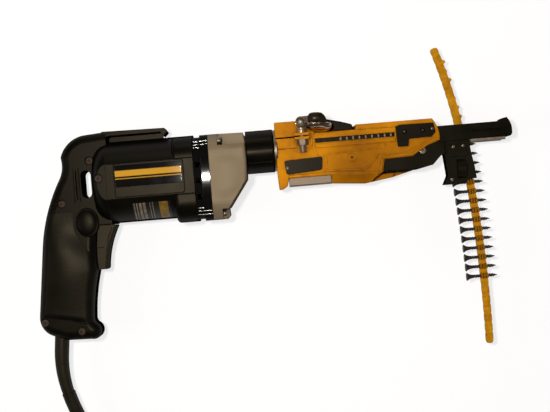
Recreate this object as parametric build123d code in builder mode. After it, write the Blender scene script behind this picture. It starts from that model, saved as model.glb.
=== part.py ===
from build123d import *
import math
import os

# Corded drywall screw gun with a collated-screw feeder clamped on its front.
# The tool lies on its left side: X runs along the drive axis towards the nose, Y towards the tool's
# top and Z up, out of its right side. The origin is on the surface that the tool lies on, under the
# motor axis, at the middle of the gear case's flat side. All sizes are in millimetres.

# Frame
half_width = 38.0        # from the mid-plane to the flat sides
drive_rise = 21.0        # drive axis above the motor axis
fit_gap = 0.3            # between pieces that move past each other
seat_gap = 0.15          # between pieces that are fitted together
run_gap = 0.05           # radial gap of a running shaft
press_gap = 0.02         # radial gap of pieces pressed on a shaft

# Motor, ring and gear case along the tool
gear_case_length = 35.5
ring_length = 16.2
ring_crown = 220.0       # radius of the ring's slightly bulging sides
neck_length = 7.6
motor_length = 88.0
barrel_radius = 41.8
barrel_rise = -19.3      # barrel centre below the drive axis
wall = 3.0
case_height = 87.0
case_rise = -22.5        # gear case centre below the drive axis
case_corner = 19.0
case_screw_top = 7.5      # upper screws below the case's top
case_screw_side = 26.0
case_screw_foot = 6.0     # lower screws above the case's bottom
case_screw_low_side = 22.0
case_screw_radius = 2.4
case_screw_head = 4.2
case_screw_cap = 4.2      # head's height
case_screw_room = 0.6     # round the head
shoulder_length = 21.0

# Motor inside
shaft_radius = 4.0
pinion_seat = 2.0
bearing_radius = 11.0
bearing_width = 7.0
shield_depth = 0.8
core_radius = 20.0
core_start = 22.5
core_length = 39.5
air_gap = 0.6
field_radius = 36.0
field_overhang = 1.5
commutator_radius = 13.0
commutator_start = 2.0
commutator_length = 11.0
brush_width = 7.0
brush_height = 8.0
holder_wall = 1.5
fan_start = 75.0
fan_width = 9.0
fan_radius = 32.0
fan_blades = 12
fan_disc = 2.0
blade_thick = 1.4
blade_rake = 18.0        # degrees

# Gears: the pinion's teeth are lengthened and the gear's shortened by the same share
tooth_module = 1.2
pinion_teeth = 7
gear_teeth = 28
pressure_angle = 20.0
tooth_shift = 0.45
tooth_backlash = 0.12
pinion_tip = 5.6
gear_width = 8.0
gear_start = 3.2
pinion_width = 12.0

# Spindle and drive shank
spindle_radius = 6.0
spindle_travel = 2.0     # pushed in by the screw to close the clutch
dog_height = 2.2
dog_gap = 0.4
dog_length = 4.0
dog_width = 5.0
dog_count = 3
clutch_radius = 12.0
clutch_thick = 3.2
spindle_journal = 4.0
spindle_head = 8.0
spindle_bearing_radius = 13.0
spindle_bearing_width = 9.0
socket_flats = 6.35
shank_radius = 4.0
bit_radius = 3.1
bit_length = 72.0

# Handle
grip_half = 17.0
grip_round = 9.0
hook_half = 14.0
hook_length = 62.5
hook_web = 2.4           # wall that closes the hook's slot on the left
dome_length = 15.5
dome_end = 27.0
trigger_half = 9.0
trigger_travel = 6.0
button_long = 29.0
button_wide = 23.0
button_proud = 4.5
button_travel = 3.0
handle_screw_head = 3.9
handle_screw_shank = 1.9
handle_screw_cap = 2.6    # head's height
handle_screw_sink = 4.0   # head's seat below the grip's side
handle_post = 4.5
bell_screw_sink = 4.5
button_floor = 10.5       # bottom of the button's well, from the mid-plane

# Adapter between the gear case and the feeder
snout_radius = 17.9
snout_length = 21.0
collar_radius = 22.0
collar_length = 28.5
spigot_radius = 17.0
spigot_length = 27.0
ring_width = 3.4

# Feeder housing
feed_half = 20.0
cavity_half = 15.5
cavity_top = 11.4
cavity_floor = -33.0
ledge_rise = 14.0
roof_rise = 19.0
clamp_place = 27.0       # clamp bolt from the feeder's back
clamp_side = 26.0        # clamp bolt from the mid-plane
clamp_rise = 25.5        # lever pivot above the drive axis
clamp_bolt_radius = 3.0
clamp_eye = 4.6
clamp_eye_width = 6.2
clamp_pin_radius = 2.2
lever_width = 10.8
adjuster_travel = 13.5
adjuster_half = 9.0
keel_half = 2.7
pad_thick = 2.0
pad_corner = 2.5
plate_thick = 2.2
plate_corner = 1.2
plate_screw_radius = 2.4
housing_screw_radius = 1.6
housing_screw_head = 3.2
stroke = 50.0
spring_outer = 10.2
spring_inner = 8.4

# Screws, strip and nose
screw_pitch = 9.75
screw_length = 31.75
screw_head = 4.1
screw_radius = 1.75
head_to_strip = 18.7     # head's back to the middle of the strip
loaded_screws = 15
empty_clips = 6
strip_width = 7.8
strip_thick = 1.4
strip_drop = 6.2         # band's back behind the drive plane
wheel_slots = 4
wheel_radius = 7.9
wheel_pin_radius = 1.5
nose_reach = 70.5
nose_travel = 26.0
foot_bore = 5.6
brow_rise = 14.5

# Cord
cord_radius = 5.0
boot_root = 7.4
boot_tip = 6.2
boot_collar = 9.4
boot_lean = 6.0          # degrees, towards the tool's back
coil_step = 10.8         # from turn to turn, and from layer to layer
coil_radius = 70.0       # outermost half turn
coil_half_turns = 6      # in the lower layer
tie_thick = 1.4
tie_width = 10.0
plug_width = 26.0
plug_height = 23.6
plug_length = 36.0
blade_length = 16.0
blade_spacing = 12.7

# Stations along X
gear_back = -gear_case_length / 2
gear_front = gear_case_length / 2
motor_front = gear_back - ring_length
motor_back = motor_front - motor_length
collar_back = gear_front + 1.8
collar_front = collar_back + collar_length
feed_back = collar_front + 2.0
slide_back = feed_back + 107.0
slide_front = feed_back + 171.0
bit_tip = slide_front + 1.9
motor_rise = -drive_rise
case_screw_rise = case_rise + case_height / 2 - case_screw_top
case_screw_drop = case_rise - case_height / 2 + case_screw_foot
case_screw_places = [(case_screw_rise, -case_screw_side), (case_screw_rise, case_screw_side),
                     (case_screw_drop, -case_screw_low_side), (case_screw_drop, case_screw_low_side)]

os.makedirs("parts", exist_ok=True)


def side(x=0.0, w=0.0):
    """The tool's side view at station x, w out of the mid-plane."""
    return Plane((x, drive_rise, half_width + w))


def section(x):
    """The cross-section at station x, first axis up the tool and second out of its right side."""
    return Plane((x, drive_rise, half_width), x_dir=(0, 1, 0), z_dir=(1, 0, 0))


def upright(x, v, w):
    """A plane across the tool's height, for round pieces that stand along Y."""
    return Plane((x, drive_rise + v, half_width + w), x_dir=(1, 0, 0), z_dir=(0, 1, 0))


def rod(x0, x1, radius, v=0.0, w=0.0, mode=Mode.ADD):
    """A round bar along the tool between two stations."""
    with Locations(section((x0 + x1) / 2)):
        with Locations((v, w)):
            Cylinder(radius, x1 - x0, mode=mode)


def block(x0, x1, v0, v1, w0, w1, mode=Mode.ADD):
    """A rectangular bar between two corners."""
    with Locations(side((x0 + x1) / 2, (w0 + w1) / 2)):
        with Locations((0, (v0 + v1) / 2)):
            Box(x1 - x0, v1 - v0, w1 - w0, mode=mode)


def save(builder, name):
    """Label a finished piece and write it."""
    builder.part.label = name
    export_step(builder.part, f"parts/{name}.step")


# Motor housing: a round barrel with flat sides, and a squarer shoulder that takes the case screws
with BuildPart() as motor_housing:
    with BuildSketch(section(motor_front - shoulder_length)):
        with Locations((case_rise, 0)):
            RectangleRounded(case_height, 2 * half_width - 1, case_corner + 2)
    extrude(amount=shoulder_length)
    fillet(motor_housing.edges().group_by(Axis.X)[0], 4)
    with BuildSketch(section(motor_back)):
        with Locations((barrel_rise, 0)):
            Circle(barrel_radius)
            Rectangle(2 * barrel_radius, 2 * half_width, mode=Mode.INTERSECT)
    extrude(amount=motor_length)
    with BuildSketch(section(motor_back)):
        with Locations((barrel_rise, 0)):
            Circle(barrel_radius - wall)
            Rectangle(2 * barrel_radius, 2 * (half_width - wall), mode=Mode.INTERSECT)
    extrude(amount=motor_length, mode=Mode.SUBTRACT)
    for rise, reach in case_screw_places:
        rod(motor_front - shoulder_length + 3, motor_front, case_screw_radius + seat_gap, rise, reach,
            Mode.SUBTRACT)
save(motor_housing, "motor_housing")

# Vent ring: a slotted neck, a flange with the gear case's section and the wall that carries bearings
flange_back = motor_front + neck_length
wall_back = gear_back - bearing_width - 1.5
with BuildPart() as vent_ring:
    with BuildSketch(section(motor_front)):
        with Locations((case_rise, 0)):
            RectangleRounded(case_height - 4, 2 * half_width - 3, case_corner + 1)
        for flip in (-1, 1):
            with Locations((case_rise, flip * (half_width - 1.5 - ring_crown))):
                Circle(ring_crown, mode=Mode.INTERSECT)
    extrude(amount=neck_length)
    with BuildSketch(section(flange_back)):
        with Locations((case_rise, 0)):
            RectangleRounded(case_height, 2 * half_width - 1, case_corner)
        for flip in (-1, 1):
            with Locations((case_rise, flip * (half_width - 0.5 - ring_crown))):
                Circle(ring_crown, mode=Mode.INTERSECT)
    extrude(amount=ring_length - neck_length)
    rod(motor_front, wall_back, fan_radius + 3, motor_rise, 0, Mode.SUBTRACT)
    slot_angles = [24 * step for step in range(15) if 24 * step not in (0, 24, 144, 216, 336)]
    with BuildSketch(section(motor_front + 2)):
        for angle in slot_angles:
            with Locations(Location((motor_rise, 0), angle)):
                with Locations((50, 0)):
                    Rectangle(40, 5)
    extrude(amount=neck_length - 3.2, mode=Mode.SUBTRACT)
    rod(wall_back + 1.5, gear_back, bearing_radius + seat_gap, motor_rise, 0, Mode.SUBTRACT)
    rod(wall_back, gear_back, shaft_radius + 1, motor_rise, 0, Mode.SUBTRACT)
    rod(wall_back + 1.5, gear_back, spindle_journal + run_gap, 0, 0, Mode.SUBTRACT)
    for rise, reach in case_screw_places:
        rod(motor_front, gear_back, case_screw_radius + seat_gap, rise, reach, Mode.SUBTRACT)
save(vent_ring, "vent_ring")

# Gear case: a casting that slants in below the spindle, with open channels for its four screws
gear_room = gear_teeth * tooth_module / 2 + tooth_module * (1 - tooth_shift) + 0.9
bearing_back = gear_front - spindle_bearing_width - 2.2
head_place = gear_back + 9.5
with BuildPart() as gear_case:
    with BuildSketch(side(gear_front)):
        with BuildLine():
            top = Line((-gear_case_length, case_rise + case_height / 2), (0, 20.2))
            bow = ThreePointArc(top @ 1, (1.6, -3), (0.6, -27))
            slant = Polyline(bow @ 1, (-20, -56), (-19.5, -62.5), (-22.5, case_rise - case_height / 2),
                             (-gear_case_length, case_rise - case_height / 2), top @ 0)
        make_face()
    extrude(amount=half_width, both=True)
    with BuildSketch(section(gear_back)):
        with Locations((case_rise, 0)):
            RectangleRounded(case_height, 2 * half_width, case_corner)
    extrude(amount=gear_case_length + 5, mode=Mode.INTERSECT)
    front_edges = gear_case.edges().group_by(Axis.X)[-1]
    fillet(front_edges, 2.5)
    rod(gear_front - 1, gear_front + snout_length, snout_radius)
    for rise, reach in case_screw_places:
        inner = math.copysign(abs(reach) - case_screw_head - case_screw_room, reach)
        outer = math.copysign(half_width + 1, reach)
        floor = rise - math.copysign(case_screw_head + case_screw_room, rise)
        mouth = math.copysign(case_height, rise)
        block(head_place, gear_front + 3, min(floor, mouth), max(floor, mouth), min(inner, outer),
              max(inner, outer), Mode.SUBTRACT)
        rod(gear_back, gear_front, case_screw_radius + seat_gap, rise, reach, Mode.SUBTRACT)
    rod(gear_back, bearing_back - 1, gear_room, 0, 0, Mode.SUBTRACT)
    rod(gear_back, gear_back + pinion_width + 4, pinion_tip + 1.5, motor_rise, 0, Mode.SUBTRACT)
    rod(gear_back, gear_front - 1.5, spindle_bearing_radius + seat_gap, 0, 0, Mode.SUBTRACT)
    rod(gear_back, gear_front + snout_length, spindle_head + 1.5, 0, 0, Mode.SUBTRACT)
save(gear_case, "gear_case")

# Four long screws that hold the gear case, ring and motor housing together
with BuildPart() as gear_case_screws:
    for rise, reach in case_screw_places:
        rod(head_place, head_place + case_screw_cap, case_screw_head, rise, reach)
        rod(motor_front - 14, head_place, case_screw_radius, rise, reach)
save(gear_case_screws, "gear_case_screws")

# Motor: laminated field with flats, its coil ends, and the brush gear on both sides
field_back = motor_back + core_start - field_overhang
field_length = core_length + 2 * field_overhang
with BuildPart() as field_core:
    with BuildSketch(section(field_back)):
        with Locations((motor_rise, 0)):
            Circle(field_radius)
            Rectangle(2 * field_radius, 2 * (half_width - wall - seat_gap), mode=Mode.INTERSECT)
            Circle(core_radius + air_gap, mode=Mode.SUBTRACT)
    extrude(amount=field_length)
save(field_core, "field_core")

coil_end_length = 7.0
with BuildPart() as field_coils:
    for start in (field_back - coil_end_length, field_back + field_length):
        with BuildSketch(section(start)):
            with Locations((motor_rise, 0)):
                Circle(field_radius - 3)
                Circle(core_radius + 3, mode=Mode.SUBTRACT)
                Rectangle(14, 2 * field_radius, mode=Mode.SUBTRACT)
        extrude(amount=coil_end_length)
save(field_coils, "field_coils")

brush_back = motor_back + commutator_start + 2
brush_reach = half_width - wall - seat_gap
with BuildPart() as brush_holders:
    for flip in (-1, 1):
        inner = flip * (commutator_radius + 3)
        outer = flip * brush_reach
        block(brush_back - holder_wall, brush_back + brush_width + holder_wall,
              motor_rise - brush_height / 2 - holder_wall, motor_rise + brush_height / 2 + holder_wall,
              min(inner, outer), max(inner, outer))
        block(brush_back - seat_gap, brush_back + brush_width + seat_gap,
              motor_rise - brush_height / 2 - seat_gap, motor_rise + brush_height / 2 + seat_gap,
              min(inner, outer - 3 * flip), max(inner, outer - 3 * flip), Mode.SUBTRACT)
save(brush_holders, "brush_holders")

with BuildPart() as carbon_brushes:
    for flip in (-1, 1):
        inner = flip * (commutator_radius - 2)
        outer = flip * (brush_reach - 8)
        block(brush_back, brush_back + brush_width, motor_rise - brush_height / 2,
              motor_rise + brush_height / 2, min(inner, outer), max(inner, outer))
    rod(motor_back - 5, motor_front, commutator_radius + run_gap, motor_rise, 0, Mode.SUBTRACT)
save(carbon_brushes, "carbon_brushes")


def bearing(start, width, outer, bore, v):
    """A sealed ball bearing: two rings and a recessed shield in one piece."""
    rod(start, start + width, outer, v)
    groove = (outer - bore) / 3
    for face in (start, start + width - shield_depth):
        with BuildSketch(section(face), mode=Mode.PRIVATE) as shield:
            with Locations((v, 0)):
                Circle(outer - groove)
                Circle(bore + groove, mode=Mode.SUBTRACT)
        extrude(shield.sketch, amount=shield_depth, mode=Mode.SUBTRACT)
    rod(start, start + width, bore, v, 0, Mode.SUBTRACT)


rear_bearing_back = motor_back - dome_length + 1.2
with BuildPart() as motor_bearings:
    for start in (rear_bearing_back, gear_back - bearing_width):
        bearing(start, bearing_width, bearing_radius, shaft_radius + run_gap, motor_rise)
save(motor_bearings, "motor_bearings")

# Armature: shaft, laminated core with winding slots, coil ends, commutator, fan and pinion
pinion_back = gear_back + 2.2
with BuildPart() as armature_shaft:
    rod(rear_bearing_back + 0.4, gear_back, shaft_radius, motor_rise)
    rod(gear_back, pinion_back + pinion_width, pinion_seat, motor_rise)
save(armature_shaft, "armature_shaft")

armature_slots = 12
with BuildPart() as armature_core:
    with BuildSketch(section(motor_back + core_start)):
        with Locations((motor_rise, 0)):
            Circle(core_radius)
            Circle(shaft_radius + press_gap, mode=Mode.SUBTRACT)
            with PolarLocations(core_radius, armature_slots):
                Rectangle(6, 2, mode=Mode.SUBTRACT)
    extrude(amount=core_length)
save(armature_core, "armature_core")

winding_length = 7.0
with BuildPart() as armature_windings:
    core_end = motor_back + core_start + core_length
    for start in (motor_back + core_start - winding_length, core_end):
        rod(start, start + winding_length, core_radius - 3, motor_rise)
    fillet(armature_windings.edges().filter_by(GeomType.CIRCLE), 2.5)
    rod(motor_back, core_end + 20, shaft_radius + press_gap, motor_rise, 0, Mode.SUBTRACT)
save(armature_windings, "armature_windings")

commutator_bars = 24
commutator_back = motor_back + commutator_start
with BuildPart() as commutator:
    rod(commutator_back, commutator_back + commutator_length, commutator_radius, motor_rise)
    with BuildSketch(section(commutator_back)):
        with Locations((motor_rise, 0)):
            with PolarLocations(commutator_radius, commutator_bars):
                Rectangle(1.2, 0.6)
    extrude(amount=commutator_length, mode=Mode.SUBTRACT)
    rod(commutator_back, commutator_back + commutator_length, shaft_radius + press_gap, motor_rise, 0,
        Mode.SUBTRACT)
save(commutator, "commutator")

with BuildPart() as cooling_fan:
    rod(motor_back + fan_start, motor_back + fan_start + fan_disc, fan_radius, motor_rise)
    rod(motor_back + fan_start, motor_back + fan_start + fan_width, shaft_radius + 5, motor_rise)
    with BuildSketch(section(motor_back + fan_start)):
        with Locations((motor_rise, 0)):
            with PolarLocations((fan_radius + shaft_radius + 4) / 2, fan_blades):
                Rectangle(fan_radius - shaft_radius - 4, blade_thick, rotation=blade_rake)
    extrude(amount=fan_width)
    with BuildSketch(section(motor_back + fan_start)):
        with Locations((motor_rise, 0)):
            Circle(fan_radius)
    extrude(amount=fan_width, mode=Mode.INTERSECT)
    rod(motor_back + fan_start, motor_back + fan_start + fan_width, shaft_radius + press_gap, motor_rise, 0,
        Mode.SUBTRACT)
save(cooling_fan, "cooling_fan")


def tooth_angle(teeth, shift, radius):
    """Half the angle that an involute tooth takes up at a radius, in radians."""
    pitch = teeth * tooth_module / 2
    base = pitch * math.cos(math.radians(pressure_angle))
    thick = tooth_module * (math.pi / 2 + 2 * shift * math.tan(math.radians(pressure_angle)))
    start = math.tan(math.radians(pressure_angle)) - math.radians(pressure_angle)
    roll = math.acos(min(1.0, base / radius))
    return (thick - tooth_backlash) / (2 * pitch) + start - (math.tan(roll) - roll)


def gear_face(teeth, shift, tip, root, phase):
    """A spur gear's outline: root circle and one tooth repeated, flanks as arcs of the involute."""
    base = teeth * tooth_module / 2 * math.cos(math.radians(pressure_angle))
    foot = max(base, root)
    flank = []
    for radius in (foot, (foot + tip) / 2, tip):
        angle = tooth_angle(teeth, shift, radius)
        flank.append((radius * math.cos(angle), radius * math.sin(angle)))
    mirrored = [(x, -y) for x, y in flank]
    heel = (root * 0.96, flank[0][1])
    with BuildSketch(mode=Mode.PRIVATE) as tooth:
        with BuildLine():
            ThreePointArc(*flank)
            Line(flank[2], mirrored[2])
            ThreePointArc(*reversed(mirrored))
            Polyline(mirrored[0], (heel[0], -heel[1]), heel, flank[0])
        make_face()
    Circle(root)
    with PolarLocations(0, teeth, start_angle=phase):
        add(tooth.sketch)


pinion_pitch = pinion_teeth * tooth_module / 2
gear_pitch = gear_teeth * tooth_module / 2
with BuildPart() as pinion:
    with BuildSketch(section(pinion_back)):
        with Locations((motor_rise, 0)):
            gear_face(pinion_teeth, tooth_shift, pinion_tip,
                      pinion_pitch - tooth_module * (1.25 - tooth_shift), 0)
            Circle(pinion_seat + press_gap, mode=Mode.SUBTRACT)
    extrude(amount=pinion_width)
save(pinion, "pinion")

# Driven gear: it runs free on the spindle, and its three dogs are half of the clutch
gear_face_front = gear_back + gear_start + gear_width
with BuildPart() as drive_gear:
    with BuildSketch(section(gear_back + gear_start)):
        gear_face(gear_teeth, -tooth_shift, gear_pitch + tooth_module * (1 - tooth_shift),
                  gear_pitch - tooth_module * (1.25 + tooth_shift), 180 / gear_teeth)
    extrude(amount=gear_width)
    rod(gear_back + fit_gap, gear_back + gear_start, spindle_radius + 2.5)
    with BuildSketch(section(gear_face_front)):
        with PolarLocations(clutch_radius - 3, dog_count):
            Rectangle(dog_length, dog_width)
    extrude(amount=dog_height)
    rod(gear_back, gear_face_front + dog_height, spindle_radius + run_gap, 0, 0, Mode.SUBTRACT)
save(drive_gear, "drive_gear")

# Clutch disc and spindle: pushed back together until the dogs meet
clutch_back = gear_face_front + 2 * dog_height + dog_gap
with BuildPart() as clutch_disc:
    rod(clutch_back, clutch_back + clutch_thick, clutch_radius)
    with BuildSketch(section(clutch_back - dog_height)):
        with PolarLocations(clutch_radius - 3, dog_count, start_angle=180 / dog_count):
            Rectangle(dog_length, dog_width)
    extrude(amount=dog_height)
    rod(clutch_back - dog_height, clutch_back + clutch_thick, spindle_radius + press_gap, 0, 0, Mode.SUBTRACT)
save(clutch_disc, "clutch_disc")

spindle_front = gear_front + snout_length + 4
with BuildPart() as spindle:
    rod(wall_back + 2 + spindle_travel, gear_back + gear_start, spindle_journal)
    rod(gear_back + gear_start - 0.2, gear_front + 1, spindle_radius)
    rod(gear_front + 1, spindle_front, spindle_head)
    fillet(spindle.edges().group_by(Axis.X)[-1], 1.2)
    with BuildSketch(section(gear_front + 4)):
        RegularPolygon(socket_flats / 2 + 0.1, 6, major_radius=False)
    extrude(amount=snout_length, mode=Mode.SUBTRACT)
save(spindle, "spindle")

with BuildPart() as spindle_bearing:
    bearing(gear_front - spindle_bearing_width - 1.7, spindle_bearing_width, spindle_bearing_radius,
            spindle_radius + run_gap, 0)
save(spindle_bearing, "spindle_bearing")

with BuildPart() as drive_shank:
    with BuildSketch(section(gear_front + 5)):
        RegularPolygon(socket_flats / 2, 6, major_radius=False)
    extrude(amount=snout_length + 4)
    rod(gear_front + snout_length + 5, bit_tip - bit_length, shank_radius)
    rod(bit_tip - bit_length - 14, bit_tip - bit_length, shank_radius + 1.2)
    rod(bit_tip - bit_length - 10, bit_tip - bit_length, bit_radius + press_gap, 0, 0, Mode.SUBTRACT)
save(drive_shank, "drive_shank")

with BuildPart() as driver_bit:
    rod(bit_tip - bit_length - 9.8, bit_tip - 7, bit_radius)
    with BuildSketch(section(bit_tip - 7)):
        Circle(bit_radius)
    with BuildSketch(section(bit_tip - 0.3)):
        Circle(1.3)
    loft()
    with BuildSketch(section(bit_tip - 8)):
        with PolarLocations(2.6, 4, start_angle=45):
            Rectangle(2.4, 1.6)
    extrude(amount=9, mode=Mode.SUBTRACT)
save(driver_bit, "driver_bit")

# Handle: one outline for grip and spine, a dome over the motor's back and a hook along the top.
# Points are from the joint with the motor housing, and from the drive axis.
handle_screw_places = [(-18.5, 4.5), (-50.0, -37.0), (-76.5, -156.5), (-40.0, -168.0)]
bell_screw_place = (-7.5, -15.0)
button_place = (-25.0, -58.0)
boot_place = (-63.0, -172.0)
boot_axis = Plane((motor_back + boot_place[0], drive_rise + boot_place[1], half_width), x_dir=(0, 0, 1),
                  z_dir=(-math.sin(math.radians(boot_lean)), -math.cos(math.radians(boot_lean)), 0))
with BuildPart() as handle_shell:
    with BuildSketch(side(motor_back)) as handle_outline:
        with BuildLine():
            spine = Line((0, 33), (-22, 31.4))
            crown = TangentArc(spine @ 1, (-48.4, 10), tangent=spine % 1)
            notch = ThreePointArc(crown @ 1, (-47.8, -1), (-51.5, -12))
            palm = TangentArc(notch @ 1, (-74, -80), tangent=notch % 1)
            back = TangentArc(palm @ 1, (-82.5, -150), tangent=palm % 1)
            heel = TangentArc(back @ 1, (-69.7, -170.8), tangent=back % 1)
            sole = Line(heel @ 1, (-55, -176.1))
            bottom = Line(sole @ 1, (-31, -176.8))
            toe = ThreePointArc(bottom @ 1, (-20, -168.5), (-26.6, -160))
            front = ThreePointArc(toe @ 1, (-24.5, -136), (-18.2, -107))
            finger = ThreePointArc(front @ 1, (-18.5, -88), (-15, -61))
            Polyline(finger @ 1, (0, -61), (0, 33))
        make_face()
        soft_corners = [curve @ 1 for curve in (crown, sole, bottom, toe, front)]
        fillet([corner for corner in handle_outline.vertices()
                if min((corner.center() - spot).length for spot in soft_corners) < 0.01], 6)
    extrude(amount=grip_half, both=True)
    rims = handle_shell.edges().filter_by(Plane.XY)
    fillet([rim for rim in rims if rim.center().X < motor_back - 15.5 or rim.center().Y > drive_rise + 29],
           grip_round)
    with BuildSketch(side(motor_back)):
        with BuildLine():
            Polyline((-4, 33), (0, 33), (hook_length - 2.5, 32), (hook_length, 27.8),
                     (hook_length - 4, 23.8), (hook_length - 6.5, 28.3), (2, 28.3), (-4, 24), (-4, 33))
        make_face()
    extrude(amount=hook_half, both=True)
    with BuildSketch(side(motor_back)):
        with BuildLine():
            cap = ThreePointArc((0, barrel_rise + barrel_radius),
                                (-dome_length * 0.62, barrel_rise + barrel_radius * 0.9),
                                (-dome_length, barrel_rise + dome_end))
            Polyline(cap @ 1, (-dome_length, barrel_rise), (0, barrel_rise), cap @ 0)
        make_face()
    revolve(axis=Axis((0, drive_rise + barrel_rise, half_width), (1, 0, 0)))
    for flip in (-1, 1):
        trim = flip * (half_width - fit_gap)
        edge = flip * (half_width + 10)
        block(motor_back - 30, motor_back + 1, -90, 40, min(trim, edge), max(trim, edge), Mode.SUBTRACT)

    # Room for the brush gear, the rear bearing, the switch and the trigger
    rod(motor_back - 10.5, motor_back + 1, field_radius - 4, motor_rise, 0, Mode.SUBTRACT)
    rod(rear_bearing_back, motor_back, bearing_radius + seat_gap, motor_rise, 0, Mode.SUBTRACT)
    with BuildSketch(side(motor_back)):
        Polygon((-24, -64), (-22.5, -105), (-27, -132), (-32, -158), (-72, -158), (-74, -130),
                (-65, -80), (-56, -64), align=None)
    extrude(amount=grip_half - wall, both=True, mode=Mode.SUBTRACT)
    block(motor_back - 25 - trigger_travel, motor_back + 1, -107.3, -61.7, -trigger_half - fit_gap,
          trigger_half + fit_gap, Mode.SUBTRACT)

    # See-through slot behind the dome, and a vent slot on each side
    with BuildSketch(side(motor_back)):
        with Locations((-23, -19)):
            SlotOverall(28, 10.2, rotation=90)
    extrude(amount=half_width, both=True, mode=Mode.SUBTRACT)
    for flip in (-1, 1):
        with BuildSketch(side(motor_back, flip * (grip_half - 6))):
            with Locations((-32.5, -19)):
                SlotOverall(30, 2.2, rotation=90)
        extrude(amount=flip * 12, mode=Mode.SUBTRACT)

    # Outlet for the cord's boot: a hole in the heel and a wider seat for the boot's collar
    with Locations(boot_axis):
        Cylinder(boot_root + seat_gap, 30, mode=Mode.SUBTRACT)
    with Locations(boot_axis.offset(-9)):
        Cylinder(boot_collar + seat_gap, 4 + 2 * seat_gap, mode=Mode.SUBTRACT)

mid_plane = Plane.XY.offset(half_width)
with BuildPart() as handle_right:
    add(handle_shell.part)
    split(bisect_by=mid_plane, keep=Keep.TOP)
    for x, v in handle_screw_places:
        with Locations(side(motor_back + x, 0)):
            with Locations((0, v)):
                Cylinder(handle_post, grip_half - handle_screw_sink,
                         align=(Align.CENTER, Align.CENTER, Align.MIN))
                Cylinder(handle_screw_shank + seat_gap, 3 * grip_half, mode=Mode.SUBTRACT)
        with Locations(side(motor_back + x, grip_half - handle_screw_sink)):
            with Locations((0, v)):
                Cylinder(handle_screw_head + 0.4, 9, align=(Align.CENTER, Align.CENTER, Align.MIN),
                         mode=Mode.SUBTRACT)
    with BuildSketch(side(motor_back, button_floor)):
        with Locations(button_place):
            Ellipse(button_wide / 2 + fit_gap, button_long / 2 + fit_gap)
    extrude(amount=40, mode=Mode.SUBTRACT)
    with Locations(side(motor_back + bell_screw_place[0], half_width - bell_screw_sink)):
        with Locations((0, bell_screw_place[1])):
            Cylinder(handle_screw_head + 0.4, 20, align=(Align.CENTER, Align.CENTER, Align.MIN),
                     mode=Mode.SUBTRACT)
save(handle_right, "handle_right")

with BuildPart() as handle_left:
    add(handle_shell.part)
    split(bisect_by=mid_plane, keep=Keep.BOTTOM)
    block(motor_back - 2, motor_back + hook_length - 6, 21.3, 29, -hook_half, hook_web - hook_half)
    for x, v in handle_screw_places:
        with Locations(side(motor_back + x, 0)):
            with Locations((0, v)):
                Cylinder(handle_post, grip_half - wall, align=(Align.CENTER, Align.CENTER, Align.MAX))
                Cylinder(handle_screw_shank + seat_gap, grip_half - 3,
                         align=(Align.CENTER, Align.CENTER, Align.MAX), mode=Mode.SUBTRACT)
save(handle_left, "handle_left")

with BuildPart() as handle_screws:
    for x, v in handle_screw_places:
        with Locations(side(motor_back + x, grip_half - handle_screw_sink)):
            with Locations((0, v)):
                Cylinder(handle_screw_head, handle_screw_cap, align=(Align.CENTER, Align.CENTER, Align.MIN))
                Cylinder(handle_screw_shank, 2 * grip_half - 9,
                         align=(Align.CENTER, Align.CENTER, Align.MAX))
    with Locations(side(motor_back + bell_screw_place[0], half_width - bell_screw_sink)):
        with Locations((0, bell_screw_place[1])):
            Cylinder(handle_screw_head, handle_screw_cap, align=(Align.CENTER, Align.CENTER, Align.MIN))
save(handle_screws, "handle_screws")

# Trigger, its switch and the lock button
with BuildPart() as trigger:
    with BuildSketch(side(motor_back)):
        with BuildLine():
            lip = Line((3, -62.3), (4.4, -63.2))
            pull = ThreePointArc(lip @ 1, (-3.6, -82), (-8, -105.3))
            Polyline(pull @ 1, (-9.5, -106.9), (-24, -106.9), (-24, -62.3), lip @ 0)
        make_face()
    extrude(amount=trigger_half, both=True)
    front_rims = trigger.edges().filter_by(GeomType.CIRCLE)
    fillet(front_rims, 3.5)
save(trigger, "trigger")

with BuildPart() as switch_module:
    block(motor_back - 54, motor_back - 25 - trigger_travel, -104, -73.5, -grip_half + wall + seat_gap,
          grip_half - wall - seat_gap)
    fillet(switch_module.edges().filter_by(Axis.X), 1.5)
    block(motor_back - 50, motor_back - 40, -110, -104, -8, -3)
    block(motor_back - 50, motor_back - 40, -110, -104, 3, 8)
save(switch_module, "switch_module")

with BuildPart() as lock_button:
    with BuildSketch(side(motor_back, button_floor + button_travel + fit_gap)):
        with Locations(button_place):
            Ellipse(button_wide / 2, button_long / 2)
    extrude(amount=grip_half + button_proud - button_floor - button_travel - fit_gap)
    fillet(lock_button.faces().sort_by(Axis.Z)[-1].edges(), 3.6)
save(lock_button, "lock_button")

# Adapter: a cup over the gear case's snout, a steel ring and the spigot that the feeder clamps on
with BuildPart() as adapter_collar:
    rod(collar_back, collar_front, collar_radius)
    fillet(adapter_collar.edges().group_by(Axis.X)[-1], 1.6)
    rod(collar_front - 1, collar_front + spigot_length, spigot_radius)
    rod(collar_back, gear_front + snout_length + 0.6, snout_radius + seat_gap, 0, 0, Mode.SUBTRACT)
    rod(collar_back, collar_front + spigot_length, spindle_head + 2, 0, 0, Mode.SUBTRACT)
save(adapter_collar, "adapter_collar")

with BuildPart() as adapter_ring:
    rod(collar_front + 0.1, collar_front + ring_width, collar_radius - 0.6)
    fillet(adapter_ring.edges().filter_by(GeomType.CIRCLE), 0.6)
    rod(collar_front, collar_front + ring_width, spigot_radius + seat_gap, 0, 0, Mode.SUBTRACT)
save(adapter_ring, "adapter_ring")

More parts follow.
